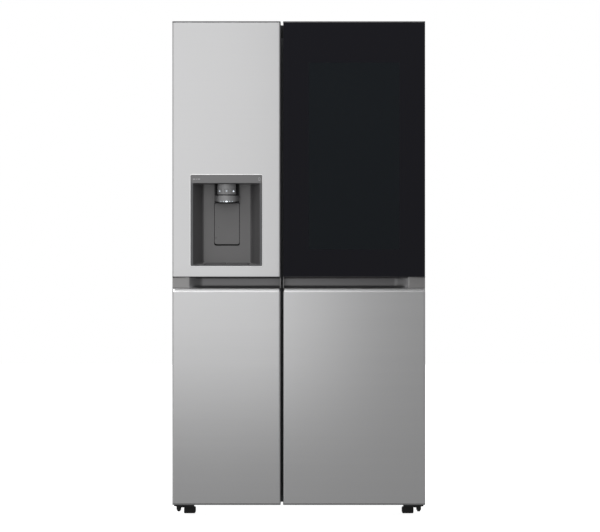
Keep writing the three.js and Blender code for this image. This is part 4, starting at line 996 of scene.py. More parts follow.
    def build_seal(self) -> None:
        """Carries a bellows section round the door: a magnet bulb, two folds and a foot."""
        x, y, z = node_spans(f"{self.name}_door_seal")
        half = [(0.35, 0.0), (0.35, 0.12), (0.18, 0.2), (0.28, 0.34), (0.18, 0.48), (0.45, 0.56)]
        half += [(0.5, 0.66), (0.5, 0.92), (0.42, 1.0)]
        shares = half + [(-across, along) for across, along in half[::-1]]
        depth = y[1] - y[0]
        section = [((across - 0.5) * self.seal_width, y[0] + along * depth) for across, along in shares]
        making = Making(self.body, [RUBBER], "seal_rubber", [f"{self.name}_door_seal"], crease=60)
        make_piece(f"{self.name}_bellows_seal", framed(x, z, self.seal_corner, section), making)

    def channel_section(self) -> np.ndarray:
        """The pocket's section as (depth share, height share) from its upper to its lower lip."""
        turn = np.linspace(0, np.pi / 2, 6)
        upper = np.stack([0.86 + 0.14 * np.sin(turn), 0.80 + 0.14 * np.cos(turn)], -1)
        lower = np.stack([0.72 + 0.28 * np.cos(turn), 0.34 - 0.28 * np.sin(turn)], -1)
        return np.vstack([[[0.0, 1.0], [0.05, 0.965]], upper, lower, [[0.36, 0.02], [0.33, 0.0]]])

    def build_channel(self) -> None:
        """Makes the pocket handle: its depth eases from a flat end block to the full pocket.

        The share of the full depth is a smooth step along the door, from the end of the block
        to where the pocket is full.
        """
        x, y, z = self.channel
        outer_x = x[0] if self.side is Side.FREEZER else x[1]
        inwards = -self.side.value
        slope = np.linspace(self.flat_end, self.full_depth, 14)
        rest = np.linspace(self.full_depth + 4 * MM, x[1] - x[0], 12)
        steps = np.concatenate([[0.0, self.flat_end - 1 * MM], slope, rest])
        ease = smooth_step((steps - self.flat_end) / (self.full_depth - self.flat_end))
        section = self.channel_section()
        flat_height = np.concatenate([[1.0], np.linspace(0.965, 0, len(section) - 1)])
        lip_y, block_y, back_y = y[0] + 0.6 * MM, y[0] + self.block_setback, y[1] - 2 * MM
        pocket = lip_y + section[None, :, 0] * (back_y - lip_y)
        plate = np.where(np.arange(len(section)) == 0, lip_y, block_y)
        full = ease[:, None]
        height = full * section[None, :, 1] + (1 - full) * flat_height[None, :]
        points = np.empty((len(steps), len(section), 3))
        points[..., 0] = (outer_x + inwards * steps)[:, None]
        points[..., 1] = full * pocket + (1 - full) * plate[None, :]
        points[..., 2] = z[0] + height * (z[1] - z[0])

        def zones(centres: np.ndarray, normals: np.ndarray) -> np.ndarray:
            """The end block keeps the satin grey; the pocket takes a darker copy of it as painted shade."""
            reach = np.abs(centres[:, 0] - outer_x)
            return np.where(reach < self.flat_end + 6 * MM, 1, 0)

        making = Making(self.body, [POCKET_PAINTED_SHADE, POCKET_END], "dark_grey_plastic")
        making.replaces = [f"{self.name}_handle_channel"]
        making.thickness, making.crease, making.zones = 1.6 * MM, 48, zones
        make_piece(f"{self.name}_pocket_handle", grid_surface(points), making)
        self.build_channel_ends(outer_x, block_y)

    def build_channel_ends(self, outer_x: float, block_y: float) -> None:
        """Makes the plates that close the pocket handle at both ends.

        Args:
            outer_x: Where the handle ends at the door's outer side.
            block_y: The face of the end block.
        """
        x, y, z = self.channel
        inwards = -self.side.value
        free_x = x[1] if self.side is Side.FREEZER else x[0]
        ends = []
        places = ((outer_x, inwards, block_y + 0.4 * MM), (free_x, -inwards, y[0] + 3 * MM))
        for end_x, inward, near in places:
            across = tuple(sorted((end_x + inward * 0.2 * MM, end_x + inward * self.end_wall)))
            ends.append(pillow(across, (near, y[1]), grown(z, -0.2 * MM), 1 * MM, 0.6 * MM))
        making = Making(self.body, [POCKET_END], "dark_grey_plastic")
        make_piece(f"{self.name}_pocket_ends", joined(ends), making)

    def build(self, hole: tuple[Span, Span] | None) -> None:
        """Makes every piece of the leaf."""
        self.build_skins(hole)
        self.build_body()
        self.build_caps()
        self.build_seal()
        self.build_channel()


@dataclass
class GlassFront:
    """The fridge door's black glass with its window, gasket, spacer and inner pane."""

    window_x: Span = (34.5 * MM, 365.5 * MM)
    window_z: Span = (965 * MM, 1643 * MM)
    edge: float = 1 * MM
    black: Colour = (0.0074, 0.0072, 0.0128)

    def build(self) -> None:
        """Makes the glass plate, the inner pane, its gasket and the spacer round the window."""
        x, y, z = node_spans("glass_panel")
        glass = DoorGlass("black_door_glass", self.black, 0.03, self.window_x, self.window_z)
        making = Making("fridge_door", [glass], "black_glass", ["glass_panel"])
        make_piece("black_glass_front", pillow(x, y, z, 2 * MM, self.edge), making)
        back = node_spans("inner_window_pane")
        making = Making("fridge_door", [PANE_GLASS], "clear_glass", ["inner_window_pane"])
        make_piece("inner_pane", pillow(*back, corner=6 * MM, edge=0.8 * MM), making)
        rim = [(7, 0), (7, 2.6), (5, 4), (-7, 4), (-9, 2), (-9, 0)]
        gasket = framed(back[0], back[2], 8 * MM, [(out * MM, back[1][1] + up * MM) for out, up in rim])
        make_piece("window_gasket", gasket, Making("fridge_door", [SOFT_GREY], "seal_rubber", crease=50))
        bar = [(0, 0.2), (0, 3), (-4, 3), (-4, 0.2)]
        inner = [(out * MM, y[1] + up * MM) for out, up in bar]
        spacer = framed(self.window_x, self.window_z, 3 * MM, inner)
        make_piece("window_spacer", spacer, Making("fridge_door", [GLOSS_BLACK], "black_plastic"))


# ------------------------------------------------------------------------------ dispenser


@dataclass
class Dispenser:
    """The water and ice niche in the freezer door: frame, header, nozzle, keys, paddle, tray."""

    trim: float = 0.7 * MM
    trim_lip: float = 2.0 * MM
    trim_corner: float = 4.5 * MM
    header_low: float = 1205 * MM
    mouth_x: Span = (-381 * MM, -141 * MM)
    mouth_z: Span = (910 * MM, 1205 * MM)
    back_x: Span = (-348 * MM, -174 * MM)
    back_z: Span = (918 * MM, 1205 * MM)
    back_y: float = -299.5 * MM
    recess_x: Span = (-307 * MM, -215 * MM)
    recess_z: Span = (981 * MM, 1141 * MM)
    recess_y: float = -281 * MM
    turn_in: float = 0.8
    groove: float = 2.2 * MM
    plate_half_angle: float = 45.0
    ring_half_angle: float = 78.0
    key_half_angle: float = 9.0
    key_pitch: float = 32.0
    lamp_angles: tuple[float, ...] = (-26.0, -14.0, 14.0, 26.0)
    ring_lift: float = 9 * MM
    icon_depth: float = 0.3 * MM

    def __post_init__(self) -> None:
        """Reads the places of the dispenser's nodes."""
        self.x, self.y, self.z = node_spans("dispenser_housing")
        self.nozzle = node_spans("nozzle_housing")
        self.front_y = CAD_BOX[0][1]
        self.middle = sum(self.nozzle[0]) / 2
        self.radius = (self.nozzle[0][1] - self.nozzle[0][0]) / 2
        self.centre_y = self.nozzle[1][0] + self.radius

    @property
    def opening(self) -> tuple[Span, Span]:
        """The cut-out in the door skin, in x and z."""
        return self.x, self.z

    def build_trim(self) -> None:
        """The bright line round the frame."""
        rear, skin, face = (self.front_y + step * MM for step in (3.0, -0.02, -0.5))
        lip = self.trim_lip
        section = [(0, rear), (0, skin), (lip, skin), (lip - 0.4 * MM, face), (-self.trim / 2, face)]
        section += [(-self.trim, skin - 0.2 * MM), (-self.trim, rear)]
        making = Making("freezer_door", [TRIM_STEEL], "aluminium", crease=60)
        make_piece("dispenser_trim", framed(self.x, self.z, self.trim_corner, section), making)

    def build_niche(self) -> None:
        """The frame and the niche: loops from the frame's front, in through the mouth to the back.

        The sides close in with depth, a little less past the share turn_in of it.
        """
        front = self.front_y + 0.6 * MM
        outer_x, outer_z = grown(self.x, -self.trim), grown(self.z, -self.trim)
        loops = [
            (outer_x, outer_z, 3.8, front + 4 * MM),
            (outer_x, outer_z, 3.8, front + 0.6 * MM),
            (grown(outer_x, -0.6 * MM), grown(outer_z, -0.6 * MM), 3.4, front),
            (grown(self.mouth_x, 1.2 * MM), grown(self.mouth_z, 1.2 * MM), 4.0, front),
            (self.mouth_x, self.mouth_z, 4.0, front + 1.4 * MM),
        ]
        for share in (0.35, 0.7, 0.86, 0.94):
            ease = min(share, self.turn_in + (share - self.turn_in) * 0.9)
            x = tuple(m + (b - m) * ease for m, b in zip(self.mouth_x, self.back_x))
            z = tuple(m + (b - m) * share for m, b in zip(self.mouth_z, self.back_z))
            loops.append((x, z, 6.0, front + share * (self.back_y - front)))
        loops += [
            (grown(self.back_x, -2 * MM), grown(self.back_z, -1.5 * MM), 8.0, self.back_y - 1.2 * MM),
            (grown(self.back_x, -6 * MM), grown(self.back_z, -5 * MM), 7.0, self.back_y),
            (grown(self.recess_x, 0.8 * MM), grown(self.recess_z, 0.8 * MM), 8.0, self.back_y),
            (self.recess_x, self.recess_z, 7.2, self.back_y + 0.8 * MM),
            (self.recess_x, self.recess_z, 7.2, self.recess_y),
        ]
        rings = [placed(rounded_loop(x, z, r * MM, 6), level, Axis.Y) for x, z, r, level in loops]
        surface = ring_stack(rings, caps=(False, True))

        def zones(centres: np.ndarray, normals: np.ndarray) -> np.ndarray:
            """Frame grey at the front and niche grey inside; the side walls take a darker copy of the niche
            grey as painted shade, and the paddle recess is painted near black as shade.
            """
            chosen = np.where(centres[:, 1] < front + 1.2 * MM, 0, 1)
            sides = (np.abs(normals[:, 0]) > 0.35) & (chosen == 1)
            return np.where(centres[:, 1] > self.back_y + 0.5 * MM, 2, np.where(sides, 3, chosen))

        finishes = [FRAME_GREY, NICHE_GREY, PAINTED_SHADE_BLACK, NICHE_PAINTED_SHADE_GREY]
        making = Making("freezer_door", finishes, "dark_grey_plastic", ["dispenser_housing"])
        making.thickness, making.crease, making.zones = 1.4 * MM, 28, zones
        make_piece("dispenser_niche", surface, making)

    def build_header(self) -> None:
        """The header over the niche with its printed marks."""
        x = grown(self.x, -self.trim - 0.6 * MM)
        y = (self.front_y + 0.3 * MM, self.front_y + 14 * MM)
        z = (self.header_low + 1 * MM, self.z[1] - self.trim - 0.6 * MM)
        surface = pillow(x, y, z, 3 * MM, 0.9 * MM)
        make_piece("dispenser_header", surface, Making("freezer_door", [HEADER_GREY], "dark_grey_plastic"))
        y, level = (self.front_y + 0.05 * MM, self.front_y + 0.6 * MM), sum(z) / 2
        marks = []
        for start, width, height in ((9, 9, 3.4), (20, 5, 2.6), (27, 8, 3.4)):
            left = self.x[0] + start * MM
            bar = (left, left + width * MM)
            marks.append(pillow(bar, y, about(level, height / 2 * MM), 1 * MM, 0.1 * MM))
        symbol, line = self.x[1] - 11 * MM, -1.2 * MM
        section = [(0, y[1]), (0, y[0]), (line, y[0]), (line, y[1])]
        marks.append(framed(about(symbol, 3.2 * MM), about(level, 5.5 * MM), 1 * MM, section))
        make_piece("header_marks", joined(marks), Making("freezer_door", [MARK], "dark_grey_plastic"))

    def drum(self, angles: Span, z: Span, out: float, thickness: float, lift: float = 0.0) -> Surface:
        """A curved plate on the nozzle's front: an arc about its axis with rounded ends.

        Args:
            angles: Degrees from the middle to its left and right end.
            z: Span of height.
            out: How far the plate's face stands off the nozzle's radius.
            thickness: Plate thickness.
            lift: How far the lower edge rises towards the ends: lift * (1 - cos angle).

        Returns:
            The closed plate.
        """
        edge = 0.3 * MM
        half = self.radius + out - np.array([thickness, edge, 0.0])
        radii = np.concatenate([half, half[::-1]])
        rings = []
        for turn in np.radians(np.linspace(*angles, 25)):
            low = z[0] + lift * (1 - np.cos(turn))
            levels = np.array([low, low, low + edge, z[1] - edge, z[1], z[1]])
            x = self.middle + radii * np.sin(turn)
            y = self.centre_y - radii * np.cos(turn)
            rings.append(np.stack([x, y, levels], -1))
        return ring_stack(rings)

    def build_nozzle(self) -> None:
        """The round nozzle: dark drum with a groove, silver plates, lamp and outlet."""
        z = self.nozzle[2]
        lip = z[0] + 30 * MM
        r = self.radius - 0.8 * MM
        inner = r - self.groove
        profile = [(r * 0.62, z[0] + 20 * MM), (r * 0.66, z[0] + 1.5 * MM), (r * 0.72, z[0])]
        profile += [(r - 3 * MM, z[0]), (r - 0.8 * MM, z[0] + 0.8 * MM), (r, z[0] + 3 * MM)]
        profile += [(r, lip - 1.2 * MM), (inner, lip - 0.8 * MM), (inner, lip + 0.8 * MM)]
        profile += [(r, lip + 1.2 * MM), (r, z[1] - 0.6 * MM), (r * 0.5, z[1] - 0.6 * MM)]
        full = turned_shape(profile, (self.middle, self.centre_y, 0.0), Axis.Z, 72)
        full.points[:, 1] = np.minimum(full.points[:, 1], self.back_y - 0.4 * MM)
        making = Making("freezer_door", [GLOSS_BLACK], "dark_grey_plastic", ["nozzle_housing"], crease=40)
        make_piece("nozzle_drum", full, making)
        self.build_plates(z, lip)
        lamp = self.lamp(0.0, 4 * MM, z[0] + 6.2 * MM)
        make_piece("nozzle_lamp", lamp, Making("freezer_door", [ICON], "clear_plastic"))
        spots = [self.lamp(turn, 1.6 * MM, z[0] + 6.8 * MM) for turn in self.lamp_angles]
        make_piece("nozzle_side_lamps", joined(spots), Making("freezer_door", [DIM_ICON], "clear_plastic"))

    def build_plates(self, z: Span, lip: float) -> None:
        """The silver plates on the nozzle: the lower ring, and round and between the keys.

        Args:
            z: The nozzle's span of height.
            lip: Level of the groove between the ring and the keys.
        """
        keys = node_spans("cubed_ice_key")[2]
        wide, narrow = about(0.0, self.ring_half_angle), about(0.0, self.plate_half_angle)
        out, thick = 0.2 * MM, 1.2 * MM
        plates = [
            self.drum(narrow, (lip + 2.2 * MM, keys[0] - 0.6 * MM), out, thick),
            self.drum(narrow, (keys[1] + 0.6 * MM, z[1] - 0.8 * MM), out, thick),
            self.drum(wide, (z[0] + 3.4 * MM, lip - 2.2 * MM), out, thick, self.ring_lift),
        ]
        edge = self.key_half_angle + 0.8
        stops = [-self.plate_half_angle, -self.key_pitch - edge, -self.key_pitch + edge, -edge, edge]
        stops += [self.key_pitch - edge, self.key_pitch + edge, self.plate_half_angle]
        for start, stop in zip(stops[0::2], stops[1::2]):
            plates.append(self.drum((start, stop), grown(keys, 0.7 * MM), out, thick))
        silver = Making("freezer_door", [NOZZLE_SILVER], "dark_grey_plastic", crease=40)
        make_piece("nozzle_plates", joined(plates), silver)

    def lamp(self, turn: float, half_width: float, level: float) -> Surface:
        """A small rounded lamp on the nozzle's lower ring.

        Args:
            turn: Degrees from the middle.
            half_width: Half of its width.
            level: Height of its middle.

        Returns:
            The closed lamp.
        """
        angle = np.radians(turn)
        x = self.middle + self.radius * np.sin(angle)
        y = self.centre_y - self.radius * np.cos(angle) - 0.6 * MM
        half = min(half_width, 2 * MM)
        return pillow(about(x, half_width), (y, y + 1 * MM), about(level, half), half * 0.95, 0.3 * MM)

    def build_keys(self) -> None:
        """The three mode keys, each with a lit icon: a drop, a cube and crushed pieces."""
        keys = (
            ("water_key", self.drop_icon(), DIM_ICON),
            ("cubed_ice_key", self.cube_icon(), DIM_ICON),
            ("crushed_ice_key", self.crushed_icon(), ICON),
        )
        for number, (node, icon, finish) in enumerate(keys):
            refine(node, [NOZZLE_SILVER], 0.4 * MM, f"{node}_cap")
            turn = np.radians((number - 1) * self.key_pitch)
            across, up = icon.points[:, 0], icon.points[:, 2]
            out = icon.points[:, 1] + self.radius + 0.9 * MM
            x = self.middle + out * np.sin(turn) + across * np.cos(turn)
            y = self.centre_y - out * np.cos(turn) + across * np.sin(turn)
            icon.points = np.stack([x, y, up + sum(node_spans(node)[2]) / 2], -1)
            make_piece(f"{node}_icon", icon, Making(node, [finish], "clear_plastic"))

    def drop_icon(self) -> Surface:
        """A drop: a circle whose upper half narrows to a point."""
        angle = np.linspace(0, 2 * np.pi, 20, endpoint=False)
        reach = 2.4 * MM
        v = reach * np.sin(angle)
        u = reach * np.cos(angle) * np.where(v > 0, 1 - v / reach, 1)
        loop = np.stack([u, v * np.where(v > 0, 1.7, 1)], -1)
        return ring_stack([placed(loop, level, Axis.Y) for level in (0.0, self.icon_depth)])

    def cube_icon(self) -> Surface:
        """A hollow square."""
        half = 2.3 * MM
        section = [(0, 0), (0, self.icon_depth), (-0.8 * MM, self.icon_depth), (-0.8 * MM, 0)]
        return framed((-half, half), (-half, half), 0.6 * MM, section)

    def crushed_icon(self) -> Surface:
        """Three small squares in a heap."""
        half, depth = 1.2 * MM, (0, self.icon_depth)
        places = ((-1.7, -1.5), (1.7, -1.5), (0.0, 1.6))
        squares = [(about(u * MM, half), depth, about(v * MM, half)) for u, v in places]
        return joined([pillow(*square, 0.3 * MM, 0.05 * MM) for square in squares])

    def build_paddle(self) -> None:
        """The paddle: a plate with round corners and eased edges."""
        x, y, z = node_spans("dispenser_lever")
        rings = []
        for inset, level in ((1.0, 0.0), (0.3, 0.25), (0.0, 0.7), (0.0, 2.6), (0.5, 3.0)):
            loop = rounded_loop(grown(x, -inset * MM), grown(z, -inset * MM), 8 * MM, 8)
            rings.append(placed(loop, y[0] + level * MM, Axis.Y))
        making = Making("dispenser_lever", [PADDLE], "dark_grey_plastic", ["dispenser_lever"], crease=40)
        make_piece("paddle", ring_stack(rings), making)

    def build_tray(self) -> None:
        """The drip tray: slats over three rails that follow the slope of the niche floor."""
        near, far = self.front_y + 8 * MM, self.back_y - 4 * MM
        rise = (self.back_z[0] - self.mouth_z[0]) / (self.back_y - self.front_y)
        x = grown(self.back_x, -6 * MM)
        slats = []
        for y in np.arange(near, far, 5 * MM):
            low = self.mouth_z[0] + (y - self.front_y) * rise + 0.6 * MM
            slats.append(block(x, (y, y + 2 * MM), (low, low + 1.6 * MM)))
        for side in (x[0], x[1] - 3 * MM, sum(x) / 2 - 1.5 * MM):
            rail = block((side, side + 3 * MM), (near, far), (0, 1.8 * MM))
            rail.points[:, 2] += self.mouth_z[0] + (rail.points[:, 1] - self.front_y) * rise + 0.5 * MM
            slats.append(rail)
        # The tray uses the darker grey that paints shade on the niche's side walls.
        making = Making("freezer_door", [NICHE_PAINTED_SHADE_GREY], "black_plastic", bevel=0.3 * MM)
        make_piece("drip_tray", joined(slats), making)

    def build(self) -> None:
        """Makes every piece of the dispenser."""
        self.build_trim()
        self.build_niche()
        self.build_header()
        self.build_nozzle()
        self.build_keys()
        self.build_paddle()
        self.build_tray()
        refine("ice_chute_flap", [BLACK_RUBBER], 0.4 * MM)


# -------------------------------------------------------------------------------- cabinet


@dataclass
class Room:
    """One compartment: its moulded lining, shelf rests, shelves, lamp and drawers."""

    side: Side
    corner: float = 22 * MM
    step_y: float = 85 * MM
    step_z: float = 285 * MM
    wall: float = 1.3 * MM
    liner_wall: float = 1.5 * MM
    rest: float = 8 * MM
    lamp_y: Span = (-150 * MM, -110 * MM)

    def __post_init__(self) -> None:
        """Reads the compartment's spans from its lining."""
        self.name = "freezer" if self.side is Side.FREEZER else "fridge"
        x, y, z = node_spans(f"{self.name}_liner")
        self.x, self.z = grown(x, -self.liner_wall), grown(z, -self.liner_wall)
        self.y = (y[0], y[1] - self.liner_wall)
        self.shelves = [node for node in NODE_BODY if node.startswith(f"{self.name}_shelf_")]

    def build_lining(self) -> None:
        """Loops from the front flange back over the step to the rear wall."""
        x, z, radius = self.x, self.z, self.corner
        front, rear = self.y
        levels = [
            (x, z, radius, front + 0.2 * MM),
            (x, z, radius, front + 3 * MM),
            (x, z, radius, self.step_y - 16 * MM),
            (x, (z[0] + 4 * MM, z[1]), radius, self.step_y - 4 * MM),
            (x, (z[0] + 12 * MM, z[1]), radius, self.step_y),
            (x, (self.step_z - 12 * MM, z[1]), radius, self.step_y),
            (x, (self.step_z - 4 * MM, z[1]), radius, self.step_y + 4 * MM),
            (x, (self.step_z, z[1]), radius, self.step_y + 16 * MM),
            (x, (self.step_z, z[1]), radius, rear - 14 * MM),
            (grown(x, -4 * MM), (self.step_z + 4 * MM, z[1] - 4 * MM), radius - 4 * MM, rear - 4 * MM),
            (grown(x, -14 * MM), (self.step_z + 14 * MM, z[1] - 14 * MM), radius - 10 * MM, rear),
        ]
        rings = [placed(rounded_loop(u, v, r, 6), level, Axis.Y) for u, v, r, level in levels]
        making = Making("cabinet", [WHITE], "white_plastic", [f"{self.name}_liner"])
        making.thickness, making.crease = self.wall, 40
        make_piece(f"{self.name}_lining", ring_stack(rings, caps=(False, True)), making)

    def build_rests(self) -> None:
        """The moulded rests under the shelves."""
        rests = []
        for node in self.shelves:
            _, y, z = node_spans(node)
            top = z[0] + 2.2 * MM
            along, level = (y[0] + 12 * MM, y[1] - 8 * MM), (top - self.rest, top)
            for across in ((self.x[0], self.x[0] + 7 * MM), (self.x[1] - 7 * MM, self.x[1])):
                rests.append(pillow(across, along, level, 2 * MM, 2 * MM, Axis.Y))
        make_piece(f"{self.name}_shelf_rests", joined(rests), Making("cabinet", [WHITE], "white_plastic"))

    def build_shelves(self) -> None:
        """Glass shelves with a moulded front trim."""
        for node in self.shelves:
            lip = node_spans(node)[1][0] + 9 * MM

            def zones(centres: np.ndarray, normals: np.ndarray, lip: float = lip) -> np.ndarray:
                """The trim is the front lip; the rest is glass."""
                return np.where(centres[:, 1] < lip, 1, 0)

            refine(node, [SHELF_GLASS, SOFT_GREY], 0.8 * MM, f"{node}_plate", zones)

    def build_lamp(self) -> None:
        """The lamp lens in the ceiling, in its white surround."""
        top, x = self.z[1], about(sum(self.x) / 2, 60 * MM)
        lens = pillow(x, self.lamp_y, (top - 7 * MM, top - 0.5 * MM), 8 * MM, 2.5 * MM, Axis.Z)
        make_piece(f"{self.name}_lamp_lens", lens, Making("cabinet", [LAMP], "clear_plastic"))
        rim = ((9, 0.4), (8, 3), (0.6, 4), (0.6, 0.4))
        section = [(out * MM, top - down * MM) for out, down in rim]
        surround = framed(x, self.lamp_y, 8 * MM, section, Axis.Z)
        make_piece(f"{self.name}_lamp_surround", surround, Making("cabinet", [SOFT_GREY], "white_plastic"))

    def build_drawers(self) -> None:
        """Clear drawers with a grip bar along the front's upper edge."""
        nodes = [n for n in NODE_BODY if n.startswith(self.name) and n.endswith(("drawer", "crisper"))]
        for node in nodes:
            x, y, z = node_spans(node)
            refine(node, [CLEAR_PLASTIC], 0.8 * MM, f"{node}_tub")
            across, along = grown(x, -10 * MM), (y[0] - 3 * MM, y[0] + 2.4 * MM)
            grip = pillow(across, along, (z[1] - 24 * MM, z[1] - 3 * MM), 6 * MM, 2 * MM)
            make_piece(f"{node}_grip", grip, Making(NODE_BODY[node], [SOFT_GREY], "clear_plastic"))

    def build(self) -> None:
        """Makes every piece of the compartment."""
        self.build_lining()
        self.build_rests()
        self.build_shelves()
        self.build_lamp()
        self.build_drawers()


@dataclass
class DoorStores:
    """What the doors carry inside: bins, ice maker and ice bin."""

    rail: float = 14 * MM
    vent_low: float = 34 * MM
    vent_pitch: float = 9 * MM

    def build_bins(self) -> None:
        """Clear bins with a grey rail along the front's upper edge."""
        for node in [n for n in NODE_BODY if "_door_bin_" in n]:
            x, y, z = node_spans(node)
            refine(node, [CLEAR_PLASTIC], 0.9 * MM, f"{node}_tray")
            top, along = z[1] - 4 * MM, (y[1] - 3.4 * MM, y[1] - 0.1 * MM)
            bar = pillow(grown(x, -16 * MM), along, (top - self.rail, top), 3 * MM, 0.8 * MM)
            make_piece(f"{node}_rail", bar, Making(NODE_BODY[node], [SOFT_GREY], "clear_plastic"))

    def build(self) -> None:
        """Makes the stores on both doors."""
        self.build_bins()
        refine("ice_bin", [FROSTED], 1.4 * MM, "ice_bin_tub")
        refine("ice_maker", [WHITE], 1.4 * MM, "ice_maker_case")
        x, y, z = node_spans("ice_maker")
        across, along = about(sum(x) / 2, 70 * MM), (y[1] - 0.6 * MM, y[1] + 0.15 * MM)
        levels = z[0] + (self.vent_low + self.vent_pitch * np.arange(7))
        vents = [pillow(across, along, (level, level + 3 * MM), 1.4 * MM, 0.1 * MM) for level in levels]
        # The ice maker's vent slots are painted near black as the shade inside them.
        making = Making(NODE_BODY["ice_maker"], [PAINTED_SHADE_BLACK], "white_plastic")
        make_piece("ice_maker_vents", joined(vents), making)


@dataclass
class AirPanels:
    """The rear air panels with their vents, and the coil and fan behind the freezer's."""

    vent_levels: tuple[float, ...] = (1168 * MM, 1425 * MM)
    vent_half: float = 29 * MM
    vent_pitch: float = 90 * MM
    slot_pitch: float = 7 * MM
    guard_rings: tuple[float, ...] = (14 * MM, 26 * MM, 38 * MM, 50 * MM, 60 * MM)

    def louvres(self, middle: float, y: float, level: float, half: float, rows: int = 3) -> Surface:
        """Level slots, one over the other.

        Args:
            middle: Middle of the slots across the panel.
            y: The panel's face.
            level: Middle of the slots in height.
            half: Half of a slot's width.
            rows: Number of slots.

        Returns:
            The slots.
        """
        across, along = about(middle, half), (y - 0.3 * MM, y + 1 * MM)
        lows = level + (np.arange(rows) - rows / 2) * self.slot_pitch
        return joined([pillow(across, along, (low, low + 3.4 * MM), 1.6 * MM, 0.1 * MM) for low in lows])

    def build(self) -> None:
        """Makes both panels, their vents, and the coil, fan and guard."""
        refine("fridge_duct_panel", [WHITE], 2.5 * MM, "fridge_air_duct")
        refine("freezer_rear_panel", [WHITE], 1.2 * MM, "freezer_air_panel")
        x, y, _ = node_spans("fridge_duct_panel")
        middles = [sum(x) / 2 + side * self.vent_pitch for side in (-1, 0, 1)]
        places = [(middle, level) for middle in middles for level in self.vent_levels]
        slots = [self.louvres(middle, y[0], level, self.vent_half) for middle, level in places]
        # The duct's vent slots are painted near black as the shade inside them.
        make_piece("fridge_duct_vents", joined(slots), Making("cabinet", [PAINTED_SHADE_BLACK], "black_plastic"))
        x, y, _ = node_spans("freezer_rear_panel")
        middle = sum(x) / 2
        slots = [self.louvres(middle, y[0], level, 100 * MM, 4) for level in (620 * MM, 1080 * MM)]
        # The freezer panel's slots are painted near black as shade too.
        make_piece("freezer_panel_vents", joined(slots), Making("cabinet", [PAINTED_SHADE_BLACK], "black_plastic"))
        refine("evaporator_fan", [WHITE], 0.5 * MM)
        self.build_fan_guard(y[0])
        dress_node("evaporator", ALUMINIUM)

    def build_fan_guard(self, face_y: float) -> None:
        """Rings and a cross in front of the freezer fan."""
        fan_x, _, fan_z = node_spans("evaporator_fan")
        centre = np.array([sum(fan_x) / 2, face_y - 2.4 * MM, sum(fan_z) / 2])
        turn = np.linspace(0, 2 * np.pi, 49)
        circle = np.stack([np.cos(turn), np.zeros_like(turn), np.sin(turn)], -1)
        wires = [pipe(centre + radius * circle, 1.1 * MM, 8) for radius in self.guard_rings]
        for angle in np.radians((45, 135)):
            reach = self.guard_rings[-1] * np.array([np.cos(angle), 0, np.sin(angle)])
            wires.append(pipe(np.linspace(centre - reach, centre + reach, 4), 1.3 * MM, 8))
        make_piece("freezer_fan_guard", joined(wires), Making("cabinet", [WHITE], "white_plastic"))


